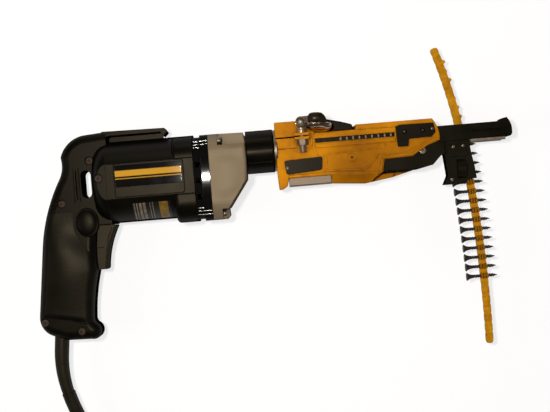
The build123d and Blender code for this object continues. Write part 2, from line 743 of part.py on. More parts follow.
# Feeder housing. Points are from the feeder's back face and from the drive axis.
adjuster_points = [(52.5, 28), (68, 24), (79, 20.5), (81, 14.3), (55, 14.3)]
pad_points = [(7, -12), (46.5, -10.5), (45, -24), (9, -26.5)]
plate_points = [(122, 13.5), (127, 15), (161, 14.5), (162.5, 5), (158, 0.5), (135, 0),
                (134, -7.5), (123.5, -7)]
rack_span = (40.0, 121.0)
rack_rise = (3.6, 8.0)
rack_pitch = 6.4
bar_inner = 8.6
bar_outer = 12.6
bar_floor = -5.0
bar_top = 11.0
chute_right = (5.4, 8.2)
chute_left = (-9.4, -6.6)
left_bar = (-13.8, -9.8)
bar_back = slide_back + nose_travel + 13
keel_span = (58.0, 78.0)
cavity_back = slide_back - feed_back - stroke - 0.5
spring_room = spring_outer + 1
spring_seat = 34.0
housing_screw_places = [(8.0, 23.5), (124.0, 15.4), (88.0, -37.0)]
plate_screw_places = [(131.0, 7.5), (149.5, 7.5)]
eyelet_place = (76.0, -14.0)
slant_lean = -4.6             # degrees, of the ridge over the slanted lower side
slant_height = 12.5
slant_depth = 9.5
slant = Plane((feed_back + 54.3, drive_rise - 29.6, half_width + feed_half), x_dir=(0, 0, 1),
              z_dir=(math.cos(math.radians(slant_lean)), math.sin(math.radians(slant_lean)), 0))
boss_place = (26.0, 6.0)


def feeder_outline(upper_back, lower_front):
    """One half's side outline, drawn in the current sketch."""
    with BuildLine() as line:
        ridge = Polyline((0, 27.5), (21, 27.5), *upper_back, (160, roof_rise))
        snub = ThreePointArc(ridge @ 1, (165.2, 9), (166.6, -3.5))
        Polyline(snub @ 1, *lower_front, (94, -40.5), (90, -41), (54, -38), (54, -30), (11, -30),
                 (9, -37.5), (4, -40.5), (0.5, -40.5), (-0.4, -27), ridge @ 0)
    make_face(line.edges())


right_back = [(31, 18.5), (38, ledge_rise), (81.8, ledge_rise), (82.5, roof_rise)]
left_back = [(31, roof_rise)]
right_front = [(151, -9), (138, -17.5), (109, -18.5), (106.5, -31), (98, -36)]
left_front = [(151, -12), (148, -24), (140, -31.5), (118, -37)]


def feeder_half(upper_back, lower_front, flip):
    """One hollow half of the housing, split along the mid-plane."""
    with BuildSketch(side(feed_back), mode=Mode.PRIVATE) as outline:
        feeder_outline(upper_back, lower_front)
    extrude(outline.sketch, amount=flip * feed_half)


def feeder_hollow():
    """The bore for the spigot, the spring's room, the slide's way and room for the foot's brow."""
    rod(feed_back - 2, collar_front + spigot_length + 0.4, spigot_radius + seat_gap, 0, 0, Mode.SUBTRACT)
    rod(feed_back - 2, collar_front + ring_width + 0.2, collar_radius - 0.4, 0, 0, Mode.SUBTRACT)
    rod(feed_back, feed_back + spring_seat, spindle_head + 2, 0, 0, Mode.SUBTRACT)
    rod(feed_back + spring_seat, feed_back + cavity_back + 1, spring_room, 0, 0, Mode.SUBTRACT)
    block(feed_back + cavity_back, feed_back + 180, cavity_floor, cavity_top, -cavity_half, cavity_half,
          Mode.SUBTRACT)
    block(slide_front + 58 - stroke - nose_travel, feed_back + 180, 0, brow_rise + 2 * fit_gap,
          left_bar[0] - 2 * fit_gap, bar_outer + 2 * fit_gap, Mode.SUBTRACT)
    block(feed_back + keel_span[0] - adjuster_travel - 0.5, feed_back + keel_span[1] + 0.5,
          ledge_rise - 1.6, ledge_rise + 1, -keel_half - fit_gap, keel_half + fit_gap, Mode.SUBTRACT)


with BuildPart() as feed_housing_right:
    feeder_half(right_back, right_front, 1)
    outer_rims = feed_housing_right.faces().sort_by(Axis.Z)[-1].edges()
    fillet(outer_rims, 1.6)
    with BuildSketch(side(feed_back, feed_half - 1)):
        with Locations((81, 10.6)):
            SlotOverall(84, 4.8)
    extrude(amount=1.8)
    with BuildSketch(side(feed_back, feed_half - 2)):
        with Locations(boss_place):
            Circle(11)
    extrude(amount=3)
    with BuildSketch(side(feed_back, feed_half - 1)):
        with Locations(eyelet_place):
            Circle(4)
    extrude(amount=1.8)
    with BuildSketch(side(feed_back, feed_half - 4)):
        with Locations((clamp_place, 11.25)):
            RectangleRounded(15, 6.5, 2)
    extrude(amount=clamp_side + 5 - feed_half + 4)
    with BuildSketch(slant):
        Polygon((0, 0), (-slant_depth, slant_height), (3, slant_height), (3, 0), align=None)
    extrude(amount=60, mode=Mode.SUBTRACT)
    feeder_hollow()

    # Split of the clamp, bolt hole, recesses for the pad, rack and front plate
    block(feed_back - 2, feed_back + clamp_place + 9, 10.5, 12, 8, clamp_side + 6, Mode.SUBTRACT)
    block(feed_back - 2, feed_back + 21, -0.6, 0.6, feed_half - 1, feed_half + 1, Mode.SUBTRACT)
    with Locations(upright(feed_back + clamp_place, 11, clamp_side)):
        Cylinder(clamp_bolt_radius + 0.25, 12, mode=Mode.SUBTRACT)
    for points, corner in ((pad_points, pad_corner), (plate_points, plate_corner)):
        with BuildSketch(side(feed_back, feed_half - 1)) as recess:
            Polygon(*points, align=None)
            fillet(recess.vertices(), corner)
        extrude(amount=5, mode=Mode.SUBTRACT)
    block(feed_back + rack_span[0], feed_back + rack_span[1], *rack_rise, feed_half - 2.5, feed_half + 3,
          Mode.SUBTRACT)
    with Locations(side(feed_back + eyelet_place[0], feed_half + 1)):
        with Locations((0, eyelet_place[1])):
            Cylinder(1.3, 6, mode=Mode.SUBTRACT)
    for x, v in housing_screw_places:
        with Locations(side(feed_back + x, 0)):
            with Locations((0, v)):
                Cylinder(housing_screw_radius + seat_gap, 24, mode=Mode.SUBTRACT)
save(feed_housing_right, "feed_housing_right")

with BuildPart() as feed_housing_left:
    feeder_half(left_back, left_front, -1)
    fillet(feed_housing_left.faces().sort_by(Axis.Z)[0].edges(), 1.6)
    feeder_hollow()
    block(feed_back + 34, feed_back + 82, ledge_rise, roof_rise + 5, -adjuster_half - 3 * fit_gap, 1,
          Mode.SUBTRACT)

    # Slots for the strip in the roof and for the chute in the floor, as long as the slide's stroke
    block(slide_front + 17 - strip_width / 2 - stroke - 1, feed_back + 180, 0, 30, -strip_drop - 2 * fit_gap,
          -strip_drop + strip_thick + 2 * fit_gap, Mode.SUBTRACT)
    block(slide_front - 2 - stroke - 2 * fit_gap, feed_back + 180, -60, cavity_floor + 1,
          chute_left[0] - 2 * fit_gap, 1, Mode.SUBTRACT)
    for x, v in housing_screw_places:
        with Locations(side(feed_back + x, -feed_half)):
            with Locations((0, v)):
                Cylinder(housing_screw_radius + seat_gap, 3 * feed_half, mode=Mode.SUBTRACT)
                Cylinder(housing_screw_head + seat_gap, 5, mode=Mode.SUBTRACT)
save(feed_housing_left, "feed_housing_left")

with BuildPart() as housing_screws:
    for x, v in housing_screw_places:
        with Locations(side(feed_back + x, -feed_half + 2.5)):
            with Locations((0, v)):
                Cylinder(housing_screw_head, 2.2, align=(Align.CENTER, Align.CENTER, Align.MAX))
                Cylinder(housing_screw_radius, feed_half + 8, align=(Align.CENTER, Align.CENTER, Align.MIN))
save(housing_screws, "housing_screws")

with BuildPart() as side_pad:
    with BuildSketch(side(feed_back, feed_half - 1)) as pad_face:
        Polygon(*pad_points, align=None)
        fillet(pad_face.vertices(), pad_corner)
        offset(amount=-seat_gap)
    extrude(amount=pad_thick)
save(side_pad, "side_pad")

with BuildPart() as front_plate:
    with BuildSketch(side(feed_back, feed_half - 1)) as plate_face:
        Polygon(*plate_points, align=None)
        fillet(plate_face.vertices(), plate_corner)
        offset(amount=-seat_gap)
    extrude(amount=plate_thick)
    for x, v in plate_screw_places:
        with Locations(side(feed_back + x, feed_half)):
            with Locations((0, v)):
                Cylinder(plate_screw_radius, 2 * plate_thick, mode=Mode.SUBTRACT)
save(front_plate, "front_plate")

with BuildPart() as plate_screws:
    for x, v in plate_screw_places:
        with Locations(side(feed_back + x, feed_half - 1)):
            with Locations((0, v)):
                Cylinder(plate_screw_radius - seat_gap, plate_thick - 0.4,
                         align=(Align.CENTER, Align.CENTER, Align.MIN))
save(plate_screws, "plate_screws")

with BuildPart() as depth_rack:
    block(feed_back + rack_span[0] + seat_gap, feed_back + rack_span[1] - seat_gap,
          rack_rise[0] + seat_gap, rack_rise[1] - seat_gap, feed_half - 2.5, feed_half - 1.4)
    rack_teeth = int((rack_span[1] - rack_span[0] - 3) // rack_pitch)
    for tooth in range(rack_teeth):
        start = feed_back + rack_span[0] + 1.5 + tooth * rack_pitch
        block(start, start + rack_pitch * 0.68, rack_rise[0] + seat_gap, rack_rise[1] - seat_gap,
              feed_half - 1.5, feed_half - 0.2)
save(depth_rack, "depth_rack")

with BuildPart() as base_plate:
    block(feed_back + 11, feed_back + 53.7, -38.6, -30, -15, 15)
    fillet(base_plate.edges().filter_by(Axis.X).group_by(Axis.Y)[0], 1.5)
    block(feed_back + 10, feed_back + 54, -36.8, -29, -13.2, 13.2, Mode.SUBTRACT)
    block(feed_back + 11, feed_back + 53.7, -31.6, -30, -13.4, 13.4)
save(base_plate, "base_plate")

# Depth adjuster: a ribbed wedge that slides along the ledge, keyed in its slot
with BuildPart() as depth_adjuster:
    with BuildSketch(side(feed_back)):
        Polygon(*adjuster_points, align=None)
    extrude(amount=adjuster_half, both=True)
    fillet(depth_adjuster.edges().filter_by(Plane.XY), 1.2)
    block(feed_back + keel_span[0], feed_back + keel_span[1], ledge_rise - 1.3, ledge_rise + 2,
          -keel_half, keel_half)
save(depth_adjuster, "depth_adjuster")

# Quick-release clamp: an eye bolt through the two ears, with a cam lever, washers and nut
clamp_x = feed_back + clamp_place
with BuildPart() as clamp_bolt:
    with Locations(upright(clamp_x, clamp_rise - 3, clamp_side)):
        Cylinder(clamp_bolt_radius, 27.5, align=(Align.CENTER, Align.CENTER, Align.MAX))
    with Locations(side(clamp_x, clamp_side)):
        with Locations((0, clamp_rise)):
            Cylinder(clamp_eye, clamp_eye_width)
            Cylinder(clamp_pin_radius + run_gap, clamp_eye_width + 1, mode=Mode.SUBTRACT)
save(clamp_bolt, "clamp_bolt")

with BuildPart() as clamp_washers:
    for rise, thick, radius in ((14.5, 3.3, 4.6), (17.9, 1.6, 5.0)):
        with Locations(upright(clamp_x, rise + thick / 2, clamp_side)):
            Cylinder(radius, thick)
            Cylinder(clamp_bolt_radius + 0.2, thick, mode=Mode.SUBTRACT)
save(clamp_washers, "clamp_washers")

with BuildPart() as clamp_nut:
    with BuildSketch(upright(clamp_x, 2.2, clamp_side)):
        RegularPolygon(4.9, 6, major_radius=False)
        Circle(clamp_bolt_radius + 0.1, mode=Mode.SUBTRACT)
    extrude(amount=5.8)
save(clamp_nut, "clamp_nut")

with BuildPart() as clamp_pin:
    with Locations(side(clamp_x, clamp_side)):
        with Locations((0, clamp_rise)):
            Cylinder(clamp_pin_radius, lever_width + 0.4)
    with Locations(side(clamp_x, clamp_side + lever_width / 2 + 0.1)):
        with Locations((0, clamp_rise)):
            Cylinder(4.2, 1.6, align=(Align.CENTER, Align.CENTER, Align.MIN))
    fillet(clamp_pin.faces().sort_by(Axis.Z)[-1].edges(), 0.8)
save(clamp_pin, "clamp_pin")

with BuildPart() as clamp_lever:
    with BuildSketch(side(clamp_x, clamp_side - lever_width / 2)):
        with Locations((0, clamp_rise)):
            Circle(5.5)
            Polygon((0, -5.4), (18, -6), (25, -8.4), (28.5, -9), (30, -7.4), (28.6, -3.6), (24, 0.6),
                    (10, 5.6), (0, 5.4), align=None)
    extrude(amount=lever_width)
    with Locations(side(clamp_x, clamp_side)):
        with Locations((0, clamp_rise)):
            Cylinder(clamp_eye + 1.8, clamp_eye_width + 2 * fit_gap, mode=Mode.SUBTRACT)
            Cylinder(clamp_pin_radius + seat_gap, lever_width + 3, mode=Mode.SUBTRACT)
    fillet(clamp_lever.edges().filter_by(Axis.Z).sort_by(Axis.X)[-4:], 0.6)
save(clamp_lever, "clamp_lever")

with BuildPart() as lever_cap:
    with BuildSketch(side(clamp_x, clamp_side - lever_width / 2 + 0.2)):
        with Locations((0, clamp_rise)):
            Polygon((10.3, 5.8), (10.6, 8), (21, 7.6), (25, 2.4), (24.2, 0.9), align=None)
    extrude(amount=lever_width - 0.4)
    fillet(lever_cap.edges().filter_by(Axis.Z).group_by(Axis.Y)[-1], 0.8)
save(lever_cap, "lever_cap")

# Feed slide: the block that runs in the housing, with a guide for the bit and ways for the nose bars
with BuildPart() as feed_slide:
    with BuildSketch(side(slide_front)):
        with BuildLine():
            Polyline((-64, 9.4), (0, 9.4), (0, -18), (-3, -18.2), (-7, -22), (-13, -28), (-28, -31.2),
                     (-64, -31), (-64, 9.4))
        make_face()
    extrude(amount=cavity_half - fit_gap, both=True)
    fillet(feed_slide.edges().filter_by(Plane.XY).group_by(Axis.Y)[0], 1.2)
    block(slide_back - 1, slide_front + 1, bar_floor - fit_gap, 12, bar_inner - fit_gap, 20, Mode.SUBTRACT)
    block(slide_back - 1, slide_front + 1, bar_floor - fit_gap, 12, -20, left_bar[1] + fit_gap,
          Mode.SUBTRACT)
    rod(slide_back - 1, slide_front - 16, 7.5, 0, 0, Mode.SUBTRACT)
    rod(slide_back - 1, slide_front + 1, bit_radius + fit_gap, 0, 0, Mode.SUBTRACT)
    rod(slide_front - spindle_travel, slide_front + 1, screw_head + 0.5, 0, 0, Mode.SUBTRACT)
    with Locations(side(slide_front - 22, cavity_half - fit_gap)):
        with Locations((0, -13.5)):
            Cylinder(4.2, 3, mode=Mode.SUBTRACT)
save(feed_slide, "feed_slide")

# Feed chute: a channel for the strip, open at the front, with a bulge over the feed wheel
wheel_pitch = wheel_slots * screw_pitch / (2 * math.pi)
wheel_rise = -3.5 * screw_pitch
wheel_x = slide_front + 16.4
wheel_width = 3.0
with BuildPart() as feed_chute:
    with BuildSketch(side(slide_front, chute_left[0])):
        Polygon((0, 9.4), (27, 9.4), (27, -10), (28, -20), (30, -30), (31.5, -45), (23, -45), (17, -49.5),
                (-2, -49.5), (2.5, -40), (0.5, -19), (0, -18), align=None)
    extrude(amount=chute_right[1] - chute_left[0])
    rod(wheel_x - 4.5, wheel_x + 4.5, wheel_radius + 2, wheel_rise, wheel_pitch)
    with BuildSketch(side(slide_front, chute_left[1])):
        Polygon((1.2, 20), (60, 20), (60, -60), (6, -60), (4.1, -40), (2.1, -19), (1.2, -17), align=None)
    extrude(amount=chute_right[0] - chute_left[1], mode=Mode.SUBTRACT)
    rod(wheel_x - wheel_width / 2 - 0.4, wheel_x + wheel_width / 2 + 0.4, wheel_radius + 0.6, wheel_rise,
        wheel_pitch, Mode.SUBTRACT)
    rod(wheel_x - 4, wheel_x + 4, wheel_pin_radius + run_gap, wheel_rise, wheel_pitch, Mode.SUBTRACT)
    rod(slide_front - 1, slide_front + 2, screw_head + 0.6, 0, 0, Mode.SUBTRACT)
save(feed_chute, "feed_chute")

with BuildPart() as feed_wheel:
    with BuildSketch(section(wheel_x - wheel_width / 2)):
        with Locations((wheel_rise, wheel_pitch)):
            Circle(wheel_radius)
            Circle(wheel_pin_radius + run_gap, mode=Mode.SUBTRACT)
            with PolarLocations(0, wheel_slots, start_angle=-90 + 180 / wheel_slots):
                Polygon((wheel_pitch - 2.2, -1.4), (wheel_pitch - 2.2, 1.4), (wheel_pitch, 2.8),
                        (wheel_radius + 1, 5.4), (wheel_radius + 1, -5.4), (wheel_pitch, -2.8),
                        align=None, mode=Mode.SUBTRACT)
    extrude(amount=wheel_width)
save(feed_wheel, "feed_wheel")

with BuildPart() as wheel_pin:
    rod(wheel_x - 4, wheel_x + 4, wheel_pin_radius, wheel_rise, wheel_pitch)
save(wheel_pin, "wheel_pin")

# Nose guide: two bars that slide along the feed slide, joined by the foot that meets the board
with BuildPart() as nose_guide:
    block(bar_back, slide_front + 62, bar_floor, bar_top, bar_inner, bar_outer)
    block(bar_back, slide_front + 62, bar_floor, bar_top, *left_bar)
    with BuildSketch(side(slide_front, left_bar[0])):
        with BuildLine():
            brow = Polyline((59, bar_floor), (59, 11.5), (62.5, brow_rise - 0.5), (66, brow_rise))
            face = ThreePointArc(brow @ 1, (nose_reach - 0.6, 7), (nose_reach, 0))
            chin = ThreePointArc(face @ 1, (nose_reach - 0.5, -3), (nose_reach - 3.5, bar_floor))
            Line(chin @ 1, brow @ 0)
        make_face()
    extrude(amount=bar_outer - left_bar[0])
    rod(slide_front + 58, slide_front + nose_reach + 1, foot_bore, 0, 0, Mode.SUBTRACT)
save(nose_guide, "nose_guide")

with BuildPart() as nose_runners:
    block(slide_front + 27, slide_front + 63, -8, bar_floor, bar_inner, bar_outer)
    block(slide_front + 27, slide_front + 63, -8, bar_floor, *left_bar)
    fillet(nose_runners.edges().filter_by(Axis.X).group_by(Axis.Y)[0], 0.8)
save(nose_runners, "nose_runners")

with BuildPart() as return_spring:
    rod(feed_back + spring_seat, slide_back, spring_outer)
    rod(feed_back + spring_seat, slide_back, spring_inner, 0, 0, Mode.SUBTRACT)
save(return_spring, "return_spring")

# Screw strip: a thin band along two arcs, with a clip at each place that still holds or held a screw
strip_lower = ThreePointArc((slide_front + 33, -213), (slide_front + 27.2, -60), (slide_front + 20.3, 0))
strip_upper = TangentArc(strip_lower @ 1, (slide_front, 89.4), tangent=strip_lower % 1)
clip_places = []
for place in range(1, loaded_screws + empty_clips + 1):
    spot = strip_lower.position_at(strip_lower.length - place * screw_pitch, PositionMode.LENGTH)
    clip_places.append((spot.X, spot.Y))
nub_places = []
for place in range(1, 9):
    spot = strip_upper.position_at(place * screw_pitch, PositionMode.LENGTH)
    nub_places.append((spot.X, spot.Y))
with BuildPart() as screw_strip:
    with BuildSketch(side(0, -strip_drop)):
        SlotArc(Wire([strip_lower, strip_upper]), strip_width)
        with Locations(*[(x + strip_width / 2, v) for x, v in nub_places]):
            Rectangle(2.6, 2.8, rotation=20)
    extrude(amount=strip_thick)
    for x, v in clip_places:
        block(x - strip_width / 2 + 0.4, x + strip_width / 2 - 0.4, v - 2.9, v + 2.9,
              -strip_drop + strip_thick, screw_radius + 0.9)
        rod(x - strip_width, x + strip_width, screw_radius + 0.2, v, 0, Mode.SUBTRACT)
save(screw_strip, "screw_strip")


def drywall_screw(x, v):
    """One bugle-head screw along the tool, its head's back at station x."""
    with BuildSketch(side(x), mode=Mode.PRIVATE) as profile:
        with BuildLine():
            rim = Polyline((0, v), (0, v + screw_head), (0.9, v + screw_head))
            flare = ThreePointArc(rim @ 1, (3.4, v + screw_radius + 0.8), (7.5, v + screw_radius))
            Polyline(flare @ 1, (screw_length - 7, v + screw_radius), (screw_length, v), rim @ 0)
        make_face()
    revolve(profile.sketch, axis=Axis((0, drive_rise + v, half_width), (1, 0, 0)))


with BuildPart() as strip_screws:
    for x, v in clip_places[:loaded_screws]:
        drywall_screw(x - head_to_strip, v)
save(strip_screws, "strip_screws")

with BuildPart() as driven_screw:
    drywall_screw(slide_front + 20.3 - head_to_strip, 0)
    rod(slide_front, bit_tip + 1.6, 1.8, 0, 0, Mode.SUBTRACT)
save(driven_screw, "driven_screw")

# Cord boot: a collar held between the handle halves, and a sleeve that tapers along a gentle bend
boot_bend = boot_axis.origin + boot_axis.z_dir * 16
boot_end = Vector(-183.5, drive_rise - 231, half_width - 2)
boot_arc = TangentArc(boot_bend, boot_end, tangent=boot_axis.z_dir)
with BuildPart() as cord_boot:
    with Locations(boot_axis.offset(-9)):
        Cylinder(boot_collar, 4)
    with Locations(boot_axis.offset(-11)):
        Cylinder(boot_root, 27, align=(Align.CENTER, Align.CENTER, Align.MIN))
    for share in (0, 0.5, 1):
        with BuildSketch(Plane(boot_arc @ share, z_dir=boot_arc % share)):
            Circle(boot_root + (boot_tip - boot_root) * share)
    loft()
save(cord_boot, "cord_boot")

# Cord: down to the surface, then into a coil of two layers that is tied up, with the plug beside it
coil_low = cord_radius + tie_thick + 0.5
coil_start = Vector(-151, drive_rise - 345, coil_low)
lead_points = [boot_end, boot_end + (boot_arc % 1) * 22, (-163.5, drive_rise - 282, 23),
               (-151, drive_rise - 312, coil_low), coil_start]


def corner_radii(points):
    """For each corner of a route, the largest arc that 0.45 of its shorter run allows."""
    spots = [Vector(*point) if isinstance(point, tuple) else point for point in points]
    radii = []
    for before, corner, after in zip(spots, spots[1:], spots[2:]):
        turn = math.radians((corner - before).get_angle(after - corner))
        run = min((corner - before).length, (after - corner).length)
        radii.append(0.45 * run / math.tan(turn / 2))
    return radii


with BuildPart() as cord_lead:
    with BuildLine() as lead_line:
        FilletPolyline(*lead_points, radius=corner_radii(lead_points))
    with BuildSketch(Plane(lead_line.line @ 0, z_dir=lead_line.line % 0)):
        Circle(cord_radius)
    sweep()
save(cord_lead, "cord_lead")
print("lead corner radii", [round(radius) for radius in corner_radii(lead_points)])

climb_radius = coil_radius - coil_half_turns * coil_step / 2 + 0.4
crossings = []


def half_turn(start, radius, heading):
    """Half a turn to the left from a point on the coil's long axis, with heading -1 or 1 along Y."""
    middle = start + Vector(-heading * radius, heading * radius, 0)
    turn = ThreePointArc(start, middle, start + Vector(-heading * 2 * radius, 0, 0))
    crossings.append(turn @ 1)
    return turn @ 1, -heading


with BuildPart() as cord_coil:
    with BuildLine() as coil_line:
        spot = coil_start
        heading = -1
        for step in range(coil_half_turns):
            spot, heading = half_turn(spot, coil_radius - step * coil_step / 2, heading)
        bulge = math.hypot(climb_radius, coil_step / 2)
        middle = spot + Vector(-heading * climb_radius, heading * bulge, coil_step / 2)
        landing = spot + Vector(-heading * 2 * climb_radius, 0, coil_step)
        climb = TangentArc(spot, middle, tangent=(0, heading, 0))
        TangentArc(middle, landing, tangent=climb % 1)
        crossings.append(landing)
        spot = landing
        heading = -heading
        for step in range(1, coil_half_turns):
            spot, heading = half_turn(spot, climb_radius + step * coil_step / 2, heading)
        tail_points = [spot, spot + Vector(0, -20, 0), spot + Vector(-10, -52, -6.2),
                       spot + Vector(-16.3, -71, -6.2)]
        FilletPolyline(*tail_points, radius=corner_radii(tail_points))
    with BuildSketch(Plane(coil_start, z_dir=(0, -1, 0))):
        Circle(cord_radius)
    sweep()
save(cord_coil, "cord_coil")

coil_wire = coil_line.wires()[0]
coil_samples = [coil_wire.position_at(step / 600) for step in range(601)]
apart = int(4 * cord_radius * 600 / coil_wire.length)
coil_gap = min((first - second).length for place, first in enumerate(coil_samples)
               for second in coil_samples[place + apart:]) - 2 * cord_radius
coil_share = cord_coil.part.volume / (math.pi * cord_radius ** 2 * coil_wire.length)
cord_length = boot_arc.length + lead_line.wires()[0].length + coil_wire.length
print("tail corner radii", [round(radius) for radius in corner_radii(tail_points)])
print("coil's least gap to itself", round(coil_gap, 2))
print("coil's volume over its section times its length", round(coil_share, 4))
print("cord length from the boot's bend", round(cord_length))

# Tie: a strap round the coil's right side, pulled over the outermost turns
tie_side = [spot for spot in crossings if spot.X > coil_start.X + coil_radius]
low_side = [spot.X for spot in tie_side if spot.Z < coil_low + coil_step / 2]
high_side = [spot.X for spot in tie_side if spot.Z > coil_low + coil_step / 2]
with BuildPart() as coil_tie:
    with BuildSketch(mode=Mode.PRIVATE) as bundle:
        Polygon((min(low_side), coil_low), (max(low_side), coil_low), (max(high_side), coil_low + coil_step),
                (min(high_side), coil_low + coil_step), align=None)
    with BuildSketch(Plane((0, coil_start.Y + tie_width / 2, 0), x_dir=(1, 0, 0), z_dir=(0, -1, 0))):
        offset(bundle.sketch, amount=cord_radius + 0.4 + tie_thick)
        offset(bundle.sketch, amount=cord_radius + 0.4, mode=Mode.SUBTRACT)
    extrude(amount=tie_width)
save(coil_tie, "coil_tie")

# Plug: a moulded two-blade plug that lies on the surface at the end of the cord
plug_place = tail_points[-1]
plug_heading = (tail_points[-1] - tail_points[-2]).normalized()
plug_plane = Plane(plug_place, x_dir=(-plug_heading.Y, plug_heading.X, 0), z_dir=plug_heading)
with BuildPart() as plug_body:
    with BuildSketch(plug_plane):
        Circle(cord_radius + 2)
    with BuildSketch(plug_plane.offset(10)):
        Circle(cord_radius + 3)
    loft()
    with BuildSketch(plug_plane.offset(10)):
        RectangleRounded(plug_width, plug_height, 6)
    extrude(amount=plug_length - 10)
    fillet(plug_body.faces().sort_by(Axis.Y)[0].edges(), 1.5)
save(plug_body, "plug_body")

with BuildPart() as plug_blades:
    with BuildSketch(plug_plane.offset(plug_length)):
        with GridLocations(blade_spacing, 0, 2, 1):
            Rectangle(1.5, 6.35)
    extrude(amount=blade_length)
save(plug_blades, "plug_blades")
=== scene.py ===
import math

import bmesh
import bpy
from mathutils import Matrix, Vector


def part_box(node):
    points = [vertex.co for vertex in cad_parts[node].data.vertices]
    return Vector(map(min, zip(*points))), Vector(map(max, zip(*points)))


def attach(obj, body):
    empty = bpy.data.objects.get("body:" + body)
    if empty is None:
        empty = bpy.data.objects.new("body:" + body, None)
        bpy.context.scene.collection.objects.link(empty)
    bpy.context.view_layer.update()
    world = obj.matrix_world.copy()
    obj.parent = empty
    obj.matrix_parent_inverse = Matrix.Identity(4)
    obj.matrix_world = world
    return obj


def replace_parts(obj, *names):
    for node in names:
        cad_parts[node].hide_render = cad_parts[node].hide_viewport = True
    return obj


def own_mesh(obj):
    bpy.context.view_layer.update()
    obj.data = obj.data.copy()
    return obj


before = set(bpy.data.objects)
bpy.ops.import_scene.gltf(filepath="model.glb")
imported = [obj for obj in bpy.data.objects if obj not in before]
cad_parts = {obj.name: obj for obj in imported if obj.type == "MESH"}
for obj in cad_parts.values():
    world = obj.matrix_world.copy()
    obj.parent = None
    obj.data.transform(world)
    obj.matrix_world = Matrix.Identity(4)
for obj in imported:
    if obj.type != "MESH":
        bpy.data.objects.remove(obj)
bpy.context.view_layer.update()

# Studio: the tool lies on a plain pale floor between three soft lamps, with a small lamp beside the camera.
# The camera looks straight down on the tool's right side, turned so that the drive axis rises.
scene = bpy.context.scene
scene.view_settings.view_transform = "Standard"
case_front, axis_rise, mid_plane = 18.0, 21.0, 38.0
view_wide, view_far, view_turn = 0.5665, 1.2, -4.7
floor_reach, floor_height, floor_glow = 8.0, -0.0006, 0.74


def at(u, v, w=0.0):
    """A place on the tool in metres: u from the gear case's front, v from the drive axis and w from the
    mid-plane, all in millimetres."""
    return Vector((u + case_front, v + axis_rise, w + mid_plane)) / 1000


camera_data = bpy.data.cameras.new("camera")
camera_data.sensor_width = 36.0
camera_data.lens = camera_data.sensor_width * view_far / view_wide
camera = bpy.data.objects.new("camera", camera_data)
camera.location = at(26.3, -56.7, view_far * 1000)
camera.rotation_euler = (0, 0, math.radians(view_turn))
scene.collection.objects.link(camera)
scene.camera = camera


def lamp(name, place, aim, size, power, colour, shape="SQUARE"):
    """A soft lamp at a place, turned towards a point."""
    data = bpy.data.lights.new(name, "AREA")
    data.shape = shape
    data.size = size
    data.energy = power
    data.color = colour
    holder = bpy.data.objects.new(name, data)
    holder.location = place
    holder.rotation_euler = (Vector(aim) - Vector(place)).to_track_quat("-Z", "Y").to_euler()
    scene.collection.objects.link(holder)


soft_white, tool_middle = (1.0, 0.97, 0.93), (0, 0, 0.03)
lamp("key_lamp", at(-106, 21, view_far * 1000), at(10, -40), 0.06, 8.6, (1.0, 0.94, 0.86), "DISK")
lamp("left_softbox", (-1.1, -0.1, 0.9), tool_middle, 0.7, 2.3, soft_white)
lamp("right_softbox", (1.1, -0.5, 0.9), tool_middle, 0.7, 1.2, soft_white)
lamp("top_softbox", (-0.05, 1.15, 0.5), tool_middle, 0.5, 2.0, soft_white)


def fill(tree, target, inputs):
    """Gives each of a node's inputs, by name or number, a value or another node's output."""
    for socket, value in inputs.items():
        if isinstance(value, bpy.types.NodeSocket):
            tree.links.new(value, target.inputs[socket])
        else:
            target.inputs[socket].default_value = value


def node(tree, kind, inputs=None, **settings):
    """Adds a node of a kind, with its settings and inputs, to a tree."""
    made = tree.nodes.new(kind)
    for setting, value in settings.items():
        setattr(made, setting, value)
    fill(tree, made, inputs or {})
    return made


def combined(tree, way, first, second):
    """The output of a node that works one value out of two."""
    return node(tree, "ShaderNodeMath", {0: first, 1: second}, operation=way).outputs["Value"]


world = bpy.data.worlds.new("studio")
world.use_nodes = True
fill(world.node_tree, world.node_tree.nodes["Background"], {"Color": (0.95, 0.97, 1.0, 1), "Strength": 0.12})
scene.world = world

floor_finish = bpy.data.materials.new("pale_floor")
floor_finish.use_nodes = True
floor_tree = floor_finish.node_tree
floor_ray = node(floor_tree, "ShaderNodeLightPath").outputs
floor_seen = combined(floor_tree, "MAXIMUM", floor_ray["Is Camera Ray"], floor_ray["Is Glossy Ray"])
floor_seen = combined(floor_tree, "MAXIMUM", floor_seen, floor_ray["Is Transmission Ray"])
fill(floor_tree, floor_tree.nodes["Principled BSDF"],
     {"Base Color": (0.36, 0.36, 0.36, 1), "Roughness": 0.9, "Emission Color": (1, 1, 1, 1),
      "Emission Strength": combined(floor_tree, "MULTIPLY", floor_seen, floor_glow)})
floor_mesh = bpy.data.meshes.new("floor")
floor_mesh.from_pydata([(x * floor_reach, y * floor_reach, floor_height) for x, y in
                        ((-1, -1), (1, -1), (1, 1), (-1, 1))], [], [(0, 1, 2, 3)])
floor = bpy.data.objects.new("floor", floor_mesh)
floor_mesh.materials.append(floor_finish)
scene.collection.objects.link(floor)

# Mains cord: 10 mm of black rubber, from the boot down to the floor and into a tied coil of two layers.
# It ends in a moulded two-blade plug that lies beside the coil.
cord_radius = 0.005
cord_swell = (1.42, 1.42, 1.36)
coil_step, coil_low, coil_long_axis = 0.0108, 0.0069, -0.324
coil_wide, coil_narrow, layer_turns, turn_points = 0.070, 0.0380, 6, 8
plug_drop = 0.0062
strap_thick, strap_room, strap_steps = 0.0014, cord_radius + 0.0004, 72
warm = (1.0, 0.86, 0.62)


